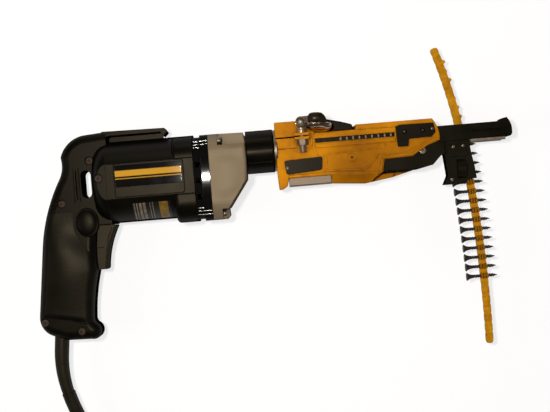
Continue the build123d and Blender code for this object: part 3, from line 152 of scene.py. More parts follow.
def ramp(tree, value, start, end, low=0.0, high=1.0, way="LINEAR"):
    """The output of a node that brings a value between start and end to one between low and high."""
    inputs = {"Value": value, "From Min": start, "From Max": end, "To Min": low, "To Max": high}
    return node(tree, "ShaderNodeMapRange", inputs, interpolation_type=way).outputs["Result"]


def noise(tree, place, scale, detail, rough=0.5):
    """The output of a node that makes a cloudy pattern."""
    inputs = {"Vector": place, "Scale": scale, "Detail": detail, "Roughness": rough}
    return node(tree, "ShaderNodeTexNoise", inputs).outputs["Fac"]


def mixed(tree, share, first, second, way="MIX"):
    """The output of a node that mixes a share of a second colour into a first."""
    inputs = {0: share, 6: first, 7: second}
    return node(tree, "ShaderNodeMix", inputs, data_type="RGBA", blend_type=way).outputs[2]


def surface(name, light, dark, rough, patch=45.0, metal=0.0, grain=900.0, grain_depth=0.03, edge=0.5,
            worn=None, worn_share=0.5, corner_shade=None, streaks=None, sheen=0.5, tint=(1, 1, 1)):
    """A finish with patches of two colours, a fine grain, rounded edges that may be worn, painted shade that may
    darken the corners, and streaks. Colours are linear, edge and grain_depth are in millimetres, and sheen and
    tint are the strength and the colour of the light thrown straight back, which a steep side doesn't do."""
    finish = bpy.data.materials.new(name)
    finish.use_nodes = True
    tree = finish.node_tree
    place = stretched = node(tree, "ShaderNodeTexCoord").outputs["Object"]
    if streaks:
        stretched = node(tree, "ShaderNodeMapping", {"Vector": place, "Scale": streaks}).outputs["Vector"]
    patches = noise(tree, stretched, patch, 6.0, 0.6)
    colour = node(tree, "ShaderNodeValToRGB", {"Fac": patches})
    for stop, position, shade in zip(colour.color_ramp.elements, (0.32, 0.68), (dark, light)):
        stop.position = position
        stop.color = (*shade, 1)
    paint = colour.outputs["Color"]
    rounding = node(tree, "ShaderNodeBevel", {"Radius": edge / 1000}, samples=4).outputs["Normal"]
    # Painted shade: where ambient occlusion finds a corner, the colour darkens towards the given shade colour.
    if corner_shade:
        corners = node(tree, "ShaderNodeAmbientOcclusion", {"Distance": 0.006}, samples=6).outputs["AO"]
        paint = mixed(tree, ramp(tree, corners, 0.3, 0.95, 0.9, 0.0), paint, (*corner_shade, 1))
    if worn:
        flat = node(tree, "ShaderNodeNewGeometry").outputs["Normal"]
        turn = node(tree, "ShaderNodeVectorMath", {0: rounding, 1: flat}, operation="DOT_PRODUCT")
        edges = ramp(tree, turn.outputs["Value"], 0.995, 0.90, 0.0, worn_share)
        rubbed = ramp(tree, noise(tree, place, 160.0, 4.0), 0.4, 0.62)
        paint = mixed(tree, combined(tree, "MULTIPLY", edges, rubbed), paint, (*worn, 1))
    relief = node(tree, "ShaderNodeBump", {"Height": noise(tree, place, grain, 3.0), "Normal": rounding,
                                           "Strength": 0.5, "Distance": grain_depth / 1000})
    if not metal:
        facing = node(tree, "ShaderNodeLayerWeight", {"Blend": 0.5}).outputs["Facing"]
        sheen = ramp(tree, facing, 0.3, 0.75, sheen, 0.0)
    fill(tree, tree.nodes["Principled BSDF"],
         {"Base Color": paint, "Metallic": metal, "Roughness": ramp(tree, patches, 0.3, 0.7, *rough),
          "Specular IOR Level": sheen, "Specular Tint": (*tint, 1), "Normal": relief.outputs["Normal"]})
    return finish


def dress(finish, *names):
    """Gives CAD pieces their finish."""
    for name in names:
        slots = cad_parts[name].data.materials
        slots.clear()
        slots.append(finish)


cord_rubber = surface("cord_rubber", (0.0115, 0.0100, 0.0065), (0.0065, 0.0058, 0.0038), (0.42, 0.52),
                      patch=60, grain=1400, grain_depth=0.02, sheen=0.22, tint=warm)
route = [(-0.1835, -0.210, 0.036), (-0.1781, -0.2312, 0.034), (-0.1635, -0.261, 0.023),
         (-0.151, -0.291, coil_low)]
crossing = route[-1][0]
strap_corners = []
half_turns = [coil_wide - step * coil_step / 2 for step in range(layer_turns)]
half_turns += [coil_narrow + step * coil_step / 2 for step in range(layer_turns)]
for step, radius in enumerate(half_turns):
    lower = step % 2 == 0
    middle = crossing + radius if lower else crossing - radius
    for point in range(turn_points):
        share = (point + 0.5) / turn_points
        angle = math.pi * (1 + share) if lower else math.pi * share
        out = radius / math.cos(math.pi / 2 / turn_points)
        height = coil_low + coil_step * min(max(step - layer_turns + share, 0), 1)
        route.append((middle + out * math.cos(angle), coil_long_axis + out * math.sin(angle), height))
    crossing = 2 * middle - crossing
    if lower:
        strap_corners.append((crossing, coil_low + (coil_step if step >= layer_turns else 0)))
route += [(crossing, coil_long_axis - 0.020, coil_low + coil_step),
          (crossing - 0.010, coil_long_axis - 0.052, coil_low + coil_step - plug_drop),
          (crossing - 0.0163, coil_long_axis - 0.071, coil_low + coil_step - plug_drop)]
cord_curve = bpy.data.curves.new("mains_cord", "CURVE")
cord_curve.dimensions = "3D"
cord_line = cord_curve.splines.new("NURBS")
cord_line.points.add(len(route) - 1)
for control, spot in zip(cord_line.points, route):
    control.co = (*spot, 1)
for control, share in zip(cord_line.points, cord_swell):
    control.radius = share
cord_line.order_u = 3
cord_line.use_endpoint_u = True
cord_line.resolution_u = 5
cord_curve.bevel_depth = cord_radius
cord_curve.bevel_resolution = 5
cord_curve.use_fill_caps = True
cord_curve.materials.append(cord_rubber)
mains_cord = bpy.data.objects.new("mains_cord", cord_curve)
scene.collection.objects.link(mains_cord)
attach(mains_cord, "root")
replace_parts(mains_cord, "cord_lead", "cord_coil")


def placed(name, data, body):
    """Makes an object of a mesh, with its body."""
    made = bpy.data.objects.new(name, data)
    scene.collection.objects.link(made)
    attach(made, body)
    return made


def piece(name, shape, finish, body, smooth=40.0):
    """Makes an object of a finished shape, with its finish and its body."""
    mesh = bpy.data.meshes.new(name)
    bmesh.ops.recalc_face_normals(shape, faces=shape.faces)
    shape.to_mesh(mesh)
    shape.free()
    mesh.materials.append(finish)
    mesh.shade_smooth()
    mesh.set_sharp_from_angle(angle=math.radians(smooth))
    return placed(name, mesh, body)


def loft(sections, shape=None, caps=(0, -1), closed=False):
    """Adds a skin through sections with the same number of points or vertices to a shape, or to a new one. A
    face closes each section that caps names, and a closed skin runs on from the last section to the first."""
    shape = bmesh.new() if shape is None else shape
    loops = [[spot if isinstance(spot, bmesh.types.BMVert) else shape.verts.new(spot) for spot in section]
             for section in sections]
    for first, second in zip(loops, loops[1:] + loops[:1] if closed else loops[1:]):
        for place in range(len(first)):
            shape.faces.new((first[place - 1], first[place], second[place], second[place - 1]))
    for cap in caps:
        shape.faces.new(loops[cap])
    return shape


strap_web = surface("strap_web", (0.035, 0.034, 0.032), (0.018, 0.018, 0.017), (0.8, 0.95), patch=500,
                    grain=2200, grain_depth=0.12)
strap_low, strap_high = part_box("coil_tie")
strap_sections = []
for step in range(strap_steps):
    angle = 2 * math.pi * step / strap_steps
    way = (math.cos(angle), math.sin(angle))
    corner = max(strap_corners, key=lambda spot: spot[0] * way[0] + spot[1] * way[1])
    section = []
    for out, along in ((0, 0.0), (0, 1.0), (0.8, 1.0), (1.0, 0.97), (1.0, 0.03), (0.8, 0.0)):
        reach = strap_room + out * strap_thick
        section.append((corner[0] + way[0] * reach, strap_low.y + along * (strap_high.y - strap_low.y),
                        corner[1] + way[1] * reach))
    strap_sections.append(section)
strap_shape = loft(strap_sections, caps=(), closed=True)
coil_strap = piece("coil_strap", strap_shape, strap_web, "root")
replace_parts(coil_strap, "coil_tie")

plug_rubber = surface("plug_rubber", (0.022, 0.021, 0.019), (0.013, 0.013, 0.012), (0.4, 0.55), edge=1.0)
blade_brass = surface("blade_brass", (0.72, 0.58, 0.32), (0.6, 0.46, 0.24), (0.22, 0.35), metal=1.0,
                      grain=600, streaks=(1, 6, 6))
dress(plug_rubber, "plug_body")
dress(blade_brass, "plug_blades")
dress(cord_rubber, "cord_boot")

# Handle: two moulded nylon shells that also cap the motor's back and carry the long hook, held together by
# recessed screws. A skin swells both sides of the grip, and ribs beside the see-through slot and a line above
# the base are moulded on.
nylon = surface("black_nylon", (0.0048, 0.0042, 0.0028), (0.0014, 0.0013, 0.0009), (0.33, 0.40), patch=22,
                grain=1100, grain_depth=0.05, edge=0.7, worn=(0.03, 0.025, 0.016), worn_share=0.45,
                sheen=0.08, tint=warm)
grip_nylon = surface("grip_nylon", (0.0040, 0.0036, 0.0024), (0.0012, 0.0011, 0.0008), (0.39, 0.44), patch=60,
                     grain=420, grain_depth=0.16, edge=0.8, sheen=0.12, tint=warm)
dress(nylon, "handle_right", "handle_left", "switch_module", "brush_holders")
shell_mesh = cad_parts["handle_right"]
shell_round, shell_edge, skin_edge = 9.0, 8.0, 9.6
skin_start = shell_round - math.sqrt(shell_round ** 2 - (skin_edge - shell_edge) ** 2)
skin_rows, skin_columns, skin_wall = 56, 32, 0.0003
grip_swell, grip_skew = 4.5, 0.35
swell_foot, swell_slant, swell_head = -155.0, 5.5, -46.0
foot_ease, middle_ease, head_ease = 3.5, 50, 45
skin_back, button_foot, button_ease = -179.0, -105, 43
behind_grip, before_grip, shell_side = -260, -120, 16.9


def shell_border(v, start, way):
    """Where a line across the grip, level with the skin's edge, meets the shell from outside."""
    return shell_mesh.ray_cast(at(start, v, skin_edge), (way, 0, 0))[1].x * 1000 - case_front


def eased(share):
    """A share from 0 to 1 that starts and ends slowly."""
    share = min(max(share, 0.0), 1.0)
    return share * share * (3 - 2 * share)


def skin_front(v, front):
    """The skin's front border, which draws back behind the lock button."""
    return front + (skin_back - front) * eased((v - button_foot) / button_ease)


def sheet(rows, wall, shape=None):
    """Adds a skin through rows of points, with a narrow wall under its border, to a shape or a new one."""
    shape = bmesh.new() if shape is None else shape
    rows = [[shape.verts.new(spot) for spot in row] for row in rows]
    for first, second in zip(rows, rows[1:]):
        for place in range(1, len(first)):
            shape.faces.new((first[place - 1], first[place], second[place], second[place - 1]))
    rim = rows[0] + [row[-1] for row in rows[1:]] + rows[-1][-2::-1] + [row[0] for row in rows[-2:0:-1]]
    return loft([rim, [vert.co - Vector((0, 0, wall)) for vert in rim]], shape, caps=())


grip_skin = bmesh.new()
for side in (-1, 1):
    rows = []
    for step in range(skin_rows + 1):
        row = []
        for place in range(skin_columns + 1):
            across = -math.cos(math.pi * place / skin_columns)
            foot = swell_foot - swell_slant * across
            v = foot + (swell_head - foot) * step / skin_rows
            back, front = shell_border(v, behind_grip, 1), shell_border(v, before_grip, -1)
            u = back + (skin_front(v, front) - back) * (across + 1) / 2
            fall = max(shell_round - skin_start - min(u - back, front - u), 0.0)
            height = shell_edge + math.sqrt(shell_round ** 2 - fall ** 2) + 0.05
            rise = grip_swell * eased((v - foot) / foot_ease) * eased((swell_head - v) / head_ease)
            rise *= 0.4 + 0.6 * eased((v - foot) / middle_ease)
            height += rise * (1 - across ** 2) * (1 - grip_skew * across)
            row.append(at(u, v, side * height))
        rows.append(row)
    sheet(rows, side * skin_wall, grip_skin)
piece("grip_skin", grip_skin, grip_nylon, "root", smooth=60.0)


def bead(points, height, radius, shape=None, closed=False):
    """Adds a moulded line with a round back, through points at one height, to a shape or a new one. All in
    millimetres."""
    spots = [at(u, v, height) for u, v in points]
    sections = []
    for place, spot in enumerate(spots):
        before = spots[place - 1] if place or closed else spot
        after = spots[(place + 1) % len(spots)] if place < len(spots) - 1 or closed else spot
        along = (after - before).normalized()
        across = along.cross(Vector((0, 0, 1))).normalized()
        turns = [math.pi * step / 4 for step in range(8)]
        ways = [math.cos(turn) * across + math.sin(turn) * across.cross(along) for turn in turns]
        sections.append([spot + radius / 1000 * way for way in ways])
    return loft(sections, shape, () if closed else (0, -1), closed)


grip_lines = bmesh.new()
rib_lines = [[(u, v) for v in (-2, -12, -26, -37)] for u in (-175.6, -170.0)]
base_line = [(-209, -149.5), (-200, -152), (-190, -155.5), (-180, -159), (-172, -160.5)]
for side in (-1, 1):
    for line in (*rib_lines, base_line):
        bead(line, side * shell_side, 0.6, grip_lines)
piece("grip_lines", grip_lines, nylon, "root")


def original(name, shape):
    """An object of a finished shape in millimetres, to be copied."""
    bmesh.ops.scale(shape, vec=(0.001, 0.001, 0.001), verts=shape.verts)
    mesh = bpy.data.meshes.new(name)
    shape.to_mesh(mesh)
    shape.free()
    return bpy.data.objects.new(name, mesh)


def screw(name, head, cap, shank, length, thread=0.0, sunk=0.0):
    """One cross-recessed screw that stands on its tip, its head's top at the origin. Sizes in millimetres:
    head and shank radii, the head's height, length under the head and, where it shows, the thread's pitch.
    A sunk head flares into the shank over that depth."""
    shape = bmesh.new()
    around = 24
    if sunk:
        profile = [(head - 0.25, 0.0), (head, -cap / 3), (head, -cap)]
        profile += [(shank + (head - shank) * (1 - share) ** 2.2, -cap - sunk * share) for share in
                    (0.15, 0.3, 0.5, 0.75, 1.0)]
    else:
        profile = [(head * 0.72, 0.0), (head * 0.92, -0.12 * cap), (head, -0.35 * cap), (head, -cap),
                   (shank, -cap)]
    lines = [[spot] * around for spot in profile]
    start = profile[-1][1]
    if thread:
        rings = int((length + start) / (thread / 7))
        for step in range(rings):
            height = start - (length + start) * (step + 1) / rings
            tip = min(1.0, (length + height) / 4.5)
            phases = [(-height / thread + place / around) % 1.0 for place in range(around)]
            ridges = [max(0.0, 1 - abs(phase - 0.5) / 0.24) for phase in phases]
            lines.append([(shank * (0.84 + 0.32 * ridge) * (0.12 + 0.88 * tip), height) for ridge in ridges])
    else:
        lines.append([(shank, -length)] * around)
    turns = [2 * math.pi * place / around for place in range(around)]
    loft([[(radius * math.cos(turn), radius * math.sin(turn), height) for turn, (radius, height) in
           zip(turns, line)] for line in lines], shape, caps=(-1,))
    top = shape.verts[:around]
    arm, slit = head * 0.52, head * 0.13
    cross = [(arm, -slit), (arm, slit), (slit, slit), (slit, arm), (-slit, arm), (-slit, slit), (-arm, slit),
             (-arm, -slit), (-slit, -slit), (-slit, -arm), (slit, -arm), (slit, -slit)]
    rim = [shape.verts.new((x, y, 0)) for x, y in cross]
    rings = [*zip(rim, rim[1:] + rim[:1]), *zip(top, top[1:] + top[:1])]
    edges = [shape.edges.get(ends) or shape.edges.new(ends) for ends in rings]
    bmesh.ops.triangle_fill(shape, edges=edges, use_beauty=True)
    loft([rim, [(x * 0.55, y * 0.55, -head * 0.42) for x, y in cross]], shape, caps=(-1,))
    bmesh.ops.recalc_face_normals(shape, faces=shape.faces)
    made = original(name, shape)
    made.data.shade_smooth()
    made.data.set_sharp_from_angle(angle=math.radians(35))
    return made


def copies_tree():
    """Geometry nodes that set a copy of one object on each place, turned as the place says."""
    tree = bpy.data.node_groups.new("copies", "GeometryNodeTree")
    for name, way, kind in (("Places", "INPUT", "Geometry"), ("Original", "INPUT", "Object"),
                            ("Finish", "INPUT", "Material"), ("Copies", "OUTPUT", "Geometry")):
        tree.interface.new_socket(name, in_out=way, socket_type="NodeSocket" + kind)
    given = node(tree, "NodeGroupInput").outputs
    copied = node(tree, "GeometryNodeObjectInfo", {"Object": given["Original"]})
    turn = node(tree, "GeometryNodeInputNamedAttribute", {"Name": "turn"}, data_type="FLOAT_VECTOR")
    rotation = node(tree, "FunctionNodeEulerToRotation", {"Euler": turn.outputs["Attribute"]})
    stand = node(tree, "GeometryNodeInstanceOnPoints",
                 {"Points": given["Places"], "Instance": copied.outputs["Geometry"],
                  "Rotation": rotation.outputs["Rotation"]})
    real = node(tree, "GeometryNodeRealizeInstances", {"Geometry": stand.outputs["Instances"]})
    painted = node(tree, "GeometryNodeSetMaterial",
                   {"Geometry": real.outputs["Geometry"], "Material": given["Finish"]})
    node(tree, "NodeGroupOutput", {"Copies": painted.outputs["Geometry"]})
    return tree


copies_nodes = copies_tree()


def copies(name, copied, spots, turns, finish, body):
    """One piece made of copies of an original, each at a spot on the tool, in millimetres. Their turns about
    X, Y and Z are one for all or a list."""
    scene.collection.objects.link(copied)
    points = bpy.data.meshes.new(name)
    points.from_pydata([at(*spot) for spot in spots], [], [])
    values = points.attributes.new("turn", "FLOAT_VECTOR", "POINT").data
    for value, turn in zip(values, turns if isinstance(turns, list) else [turns] * len(spots)):
        value.vector = turn
    holder = bpy.data.objects.new(name, points)
    scene.collection.objects.link(holder)
    modifier = holder.modifiers.new("copies", "NODES")
    modifier.node_group = copies_nodes
    sockets = {item.name: item.identifier for item in copies_nodes.interface.items_tree}
    modifier[sockets["Original"]] = copied
    modifier[sockets["Finish"]] = finish
    evaluated = holder.evaluated_get(bpy.context.evaluated_depsgraph_get())
    mesh = bpy.data.meshes.new_from_object(evaluated)
    bpy.data.objects.remove(holder)
    bpy.data.objects.remove(copied)
    return placed(name, mesh, body)


def screws(name, sizes, spots, finish, turn=(0, 0, 0), body="root"):
    """One piece made of equal screws, upright unless they are turned."""
    return copies(name, screw("one_of_" + name, *sizes), spots, turn, finish, body)


rusty_steel = surface("rusty_steel", (0.066, 0.037, 0.018), (0.024, 0.015, 0.009), (0.55, 0.75), patch=420,
                      metal=0.3, grain=1800, grain_depth=0.06, edge=0.2, worn=(0.12, 0.085, 0.055))
handle_places = [(-158.5, 4.5, 14.9), (-190.0, -37.0, 14.9), (-216.5, -156.5, 14.9), (-180.0, -168.0, 14.9),
                 (-147.5, -15.0, 36.1)]
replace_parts(screws("shell_screws", (3.9, 2.6, 1.9, 8.0), handle_places, rusty_steel), "handle_screws")

# Trigger and lock button: the trigger is a hollow moulding with a strip along its front edges and a lip under
# a seal. The button is an egg-shaped cap with a domed face that is pressed in to hold the trigger.
trigger_nylon = surface("trigger_nylon", (0.017, 0.0138, 0.0085), (0.008, 0.0068, 0.0043), (0.42, 0.5),
                        patch=35, grain=1300, edge=0.6, worn=(0.06, 0.048, 0.032), sheen=0.18, tint=warm)
trigger_half, seal_place = 8.9, (-148, -61.5)
button_u, button_v, button_wide, button_long = -165, -58, 10.2, 13.2
dress(trigger_nylon, "trigger", "lock_button")


def slab(outline, low, high, rim=0.25, shape=None):
    """Adds a flat plate between two heights, with a slanted rim round its top, to a shape or a new one."""
    sections = []
    for height, inset in ((low, 0.0), (high - rim, 0.0), (high, rim)):
        section = []
        for place, (u, v) in enumerate(outline):
            before, after = Vector(outline[place - 1]), Vector(outline[(place + 1) % len(outline)])
            along = (after - before).normalized()
            section.append(at(u - inset * along.y, v + inset * along.x, height))
        sections.append(section)
    return loft(sections, shape)


def dome(outline, low, high):
    """A cap that swells from an outline at one height to its middle at another."""
    middle_u, middle_v = (sum(place) / len(outline) for place in zip(*outline))
    sections = []
    for step in range(8):
        angle = math.pi / 2 * step / 8
        sections.append([at(middle_u + (u - middle_u) * math.cos(angle),
                            middle_v + (v - middle_v) * math.cos(angle),
                            low + (high - low) * math.sin(angle)) for u, v in outline])
    return loft(sections)


def blocks(boxes, rounding):
    """A shape of rounded blocks, each given by its low and its high corner in millimetres."""
    shape = bmesh.new()
    for low, high in boxes:
        corners = bmesh.ops.create_cube(shape, size=1.0)["verts"]
        bmesh.ops.scale(shape, vec=[b - a for a, b in zip(low, high)], verts=corners)
        bmesh.ops.translate(shape, vec=[(a + b) / 2 for a, b in zip(low, high)], verts=corners)
    bmesh.ops.bevel(shape, geom=shape.edges[:], offset=rounding, segments=2, affect="EDGES")
    return shape


trigger_lines = bmesh.new()
front_line = [(-141.6, -64.5), (-146.0, -75), (-148.8, -88), (-150.2, -97), (-151, -105.5)]
cross_line = [(u, -84.5) for u in (-160.5, -156.0, -151.0)]
for side in (-1, 1):
    bead(front_line, side * trigger_half, 0.7, trigger_lines)
    bead(cross_line, side * trigger_half, 0.5, trigger_lines)
piece("trigger_lines", trigger_lines, trigger_nylon, "trigger")
lip_edge = [(-160.5, -63.0), (-138.5, -63.0), (-138.5, -61.85), (-160.5, -61.85)]
piece("trigger_lip", slab(lip_edge, 8.2, 8.95, 0.15), trigger_nylon, "trigger")
button_turns = [math.pi * place / 20 for place in range(40)]
button_edge = [(button_u + button_wide * math.cos(turn), button_v + button_long * math.sin(turn))
               for turn in button_turns]
piece("button_dome", dome(button_edge, 21.3, 23.9), nylon, "lock_button", smooth=60.0)
trigger_seal = blocks([((-12.5, -0.55, -8.0), (12.5, 0.55, 8.0))], 0.3)
bmesh.ops.scale(trigger_seal, vec=(0.001, 0.001, 0.001), verts=trigger_seal.verts)
bmesh.ops.translate(trigger_seal, vec=at(*seal_place), verts=trigger_seal.verts)
piece("trigger_seal", trigger_seal, nylon, "root")

# Motor housing: a moulded nylon barrel with a flat on each side. A frame is moulded on the flat round a
# plain foil plate, and a second foil sticks to the barrel's lower side.
dress(nylon, "motor_housing")
barrel_radius, barrel_rise, housing_side = 41.8, -19.3, 37.9


def arc(u, v, radius, start, step, count):
    """Points on a circle about a place, from a start angle on in equal steps, in degrees."""
    turns = [math.radians(start + step * place) for place in range(count)]
    return [(u + radius * math.cos(turn), v + radius * math.sin(turn)) for turn in turns]


def round_at(u, rise, out, angle):
    """A place round a line along the tool, by its distance and its angle up from the right side."""
    return at(u, rise + out * math.sin(angle), out * math.cos(angle))


def rounded(u0, v0, u1, v1, corner):
    """The outline of a rectangle with round corners, anticlockwise."""
    outline = []
    for u, v, start in ((u1 - corner, v1 - corner, 0), (u0 + corner, v1 - corner, 90),
                        (u0 + corner, v0 + corner, 180), (u1 - corner, v0 + corner, 270)):
        outline += arc(u, v, corner, start, 22.5, 5)
    return outline


def along_axis(tree, axis):
    """The output of a node that gives a place's X, Y or Z."""
    place = node(tree, "ShaderNodeTexCoord").outputs["Object"]
    return node(tree, "ShaderNodeSeparateXYZ", {"Vector": place}).outputs[axis]


def overlay(finish, share, paint, way="MIX"):
    """Mixes a share of a paint into the colour of a finish."""
    tree = finish.node_tree
    base = tree.nodes["Principled BSDF"].inputs["Base Color"]
    tree.links.new(mixed(tree, share, base.links[0].from_socket, paint, way), base)


def print_bands(finish, axis, start, end, bands, way, scale, detail, rubbed):
    """Prints bands across a foil, partly rubbed off. A band is a share of the way from start to end along an
    axis and the paint from there on, with its strength."""
    tree = finish.node_tree
    printed = node(tree, "ShaderNodeValToRGB", {"Fac": ramp(tree, along_axis(tree, axis), start, end)})
    stops = printed.color_ramp.elements
    printed.color_ramp.interpolation = way
    stops.remove(stops[1])
    stops[0].color = bands[-1][1]
    for share, paint in bands:
        stops.new(share).color = paint
    place = node(tree, "ShaderNodeTexCoord").outputs["Object"]
    kept = ramp(tree, noise(tree, place, scale, detail), *rubbed)
    overlay(finish, combined(tree, "MULTIPLY", printed.outputs["Alpha"], kept), printed.outputs["Color"])


housing_frame = bmesh.new()
for side in (-1, 1):
    bead(rounded(-131.5, -35.6, -62, -2.0, 2.5), side * housing_side, 0.6, housing_frame, closed=True)
piece("housing_frame", housing_frame, nylon, "root")

plate_foil = surface("plate_foil", (0.006, 0.0055, 0.0045), (0.003, 0.0028, 0.0024), (0.03, 0.05), patch=60,
                     grain_depth=0.0, edge=0.3, sheen=0.25)
gold_bands = [(share, (0.70, 0.36, 0.03, strength)) for share, strength in
              ((0.34, 0), (0.36, 0.8), (0.39, 0.8), (0.41, 0), (0.46, 0), (0.50, 1), (0.74, 1), (0.78, 0))]
print_bands(plate_foil, "Y", at(0, -25).y, at(0, -4).y, gold_bands, "LINEAR", 420.0, 6.0, (0.16, 0.36))
foil_edge = rounded(-130.5, -25.5, -64, -3.6, 1.5)
piece("side_foil", slab(foil_edge, housing_side, 38.35), plate_foil, "root")

striped_foil = surface("striped_foil", (0.012, 0.0105, 0.007), (0.006, 0.0055, 0.004), (0.3, 0.42), patch=70,
                       edge=0.2, sheen=0.25)
bare_foil, pale_paint, ochre_paint = (0, 0, 0, 0), (0.22, 0.175, 0.125, 1), (0.26, 0.15, 0.02, 1)
stripes = []
for start, end, paint in ((0.03, 0.06, pale_paint), (0.10, 0.13, pale_paint), (0.17, 0.24, pale_paint),
                          (0.27, 0.34, pale_paint), (0.45, 0.47, pale_paint), (0.52, 0.54, pale_paint),
                          (0.70, 0.93, ochre_paint)):
    stripes += [(start, paint), (end, bare_foil)]
foil_columns, foil_floor, foil_top = (-116, -106, -96, -86, -78), barrel_radius - 0.2, barrel_radius + 0.12
print_bands(striped_foil, "X", at(foil_columns[0], 0).x, at(foil_columns[-1], 0).x, stripes, "CONSTANT",
            260.0, 5.0, (0.05, 0.6))
foil_section = [(u, foil_floor) for u in foil_columns] + [(u, foil_top) for u in foil_columns[::-1]]
foil_high, foil_step = -34, -4.8
foil_angles = [math.radians(foil_high + foil_step * step) for step in range(9)]
lower_foil = loft([[round_at(u, barrel_rise, out, angle) for u, out in foil_section]
                   for angle in foil_angles])
piece("lower_foil", lower_foil, striped_foil, "root")

# Vent ring: a polished black moulding between the motor and the gear case, with a slotted neck for the
# fan's air. Short fins stand on its four corners.
gloss_black = surface("gloss_black", (0.003, 0.003, 0.0022), (0.0016, 0.0016, 0.0012), (0.03, 0.05), patch=30,
                      grain_depth=0.0, edge=0.8)
fin_gloss = surface("fin_gloss", (0.02, 0.018, 0.016), (0.01, 0.009, 0.008), (0.12, 0.16), grain_depth=0.0,
                    sheen=0.6)
gloss_tree = gloss_black.node_tree
ring_front = ramp(gloss_tree, along_axis(gloss_tree, "X"), at(-44.3, 0).x, at(-43.9, 0).x)
ring_reach = {0: along_axis(gloss_tree, "Y"), 1: at(0, -22.5).y, 2: 0.022}
ring_middle = node(gloss_tree, "ShaderNodeMath", ring_reach, operation="COMPARE").outputs["Value"]
ring_shine = combined(gloss_tree, "MULTIPLY", ring_front, ring_middle)
fill(gloss_tree, gloss_tree.nodes["Principled BSDF"],
     {"Roughness": ramp(gloss_tree, ring_shine, 0.0, 1.0, 0.5, 0.09),
      "Specular IOR Level": ramp(gloss_tree, ring_shine, 0.0, 1.0, 0.02, 0.16)})
dress(gloss_black, "vent_ring")
vent_fins = bmesh.new()
ring_corner, ring_half, fin_back = 19.0, 18.3, -51.0
for up, corner_rise in ((1, 2.0), (-1, -47.0)):
    for side in (-1, 1):
        for lean, fin_front in ((39, -36.5), (27, -36.5), (17, -44.0)):
            angle = math.radians(lean)
            fin_rise = corner_rise + up * ring_corner * math.sin(angle)
            fin_out = side * (ring_half + ring_corner * math.cos(angle))
            bead([(fin_back, fin_rise), (fin_front, fin_rise)], fin_out, 0.8, vent_fins)
piece("vent_fins", vent_fins, fin_gloss, "root")

# Gear case: a casting in warm grey paint, slightly crowned on its right side. Four long screws hold it, with
# their heads in open channels.
# The casting's corners get painted shade.
grey_casting = surface("grey_casting", (0.250, 0.192, 0.120), (0.190, 0.142, 0.085), (0.40, 0.5), patch=22,
                       grain=420, grain_depth=0.05, edge=1.2, worn=(0.34, 0.28, 0.20),
                       corner_shade=(0.06, 0.042, 0.025), sheen=0.3, tint=warm)
bright_steel = surface("bright_steel", (0.25, 0.203, 0.158), (0.15, 0.12, 0.088), (0.36, 0.5), patch=160,
                       metal=1.0, grain_depth=0.015, edge=0.3)
dress(grey_casting, "gear_case")
case_swell, case_back, case_top, case_base, case_side = 0.9, -35.3, 1.6, -47.6, 38.03
case_face, face_top, face_lean, chamfer_top, chamfer_lean, case_ease = -1.2, 2, 0.02, -29.5, 0.69, 14
case_rows, case_columns, case_wall = 32, 24, 0.0002
rows = []
for step in range(case_rows + 1):
    v = case_top + (case_base - case_top) * step / case_rows
    front = case_face - face_lean * max(face_top - v, 0) - chamfer_lean * max(chamfer_top - v, 0)
    rise = case_swell * eased((case_top - v) / case_ease) * eased((v - case_base) / case_ease)
    row = []
    for place in range(case_columns + 1):
        across = 2 * place / case_columns - 1
        row.append(at(case_back + (front - case_back) * (across + 1) / 2, v,
                      case_side + rise * (1 - across ** 2) ** 1.3))
    rows.append(row)
piece("case_skin", sheet(rows, case_wall), grey_casting, "root", smooth=60.0)
facing_front = (0, math.radians(90), 0)
case_places = [(-22.05, 13.5, -26), (-22.05, 13.5, 26), (-22.05, -60, -22), (-22.05, -60, 22)]
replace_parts(screws("case_screws", (4.2, 4.2, 2.4, 30.0), case_places, bright_steel, facing_front),
            "gear_case_screws")

# Inside of the motor and gear end: laminated steel cores with copper windings, carbon brushes and a moulded
# fan. The shafts, gears, bearings, bit and pins are ground steel.
lamination = surface("lamination", (0.2, 0.19, 0.18), (0.12, 0.115, 0.11), (0.4, 0.55), metal=0.8,
                     streaks=(60, 1, 1))
copper_wire = surface("copper_wire", (0.55, 0.24, 0.1), (0.4, 0.16, 0.07), (0.3, 0.45), metal=0.9, grain=1500,
                      grain_depth=0.15)
carbon = surface("pressed_carbon", (0.03, 0.03, 0.03), (0.018, 0.018, 0.018), (0.55, 0.7))
fan_nylon = surface("fan_nylon", (0.2, 0.2, 0.19), (0.14, 0.14, 0.13), (0.45, 0.6))
ground_steel = surface("ground_steel", (0.5, 0.48, 0.45), (0.38, 0.36, 0.33), (0.22, 0.36), patch=120,
                       metal=1.0, grain=1200, grain_depth=0.01, edge=0.3, streaks=(1, 5, 5))
dress(lamination, "field_core", "armature_core")
dress(copper_wire, "field_coils", "armature_windings", "commutator")
dress(carbon, "carbon_brushes")
dress(fan_nylon, "cooling_fan")
dress(ground_steel, "armature_shaft", "pinion", "drive_gear", "clutch_disc", "spindle", "drive_shank",
      "driver_bit", "motor_bearings", "spindle_bearing", "return_spring", "wheel_pin")

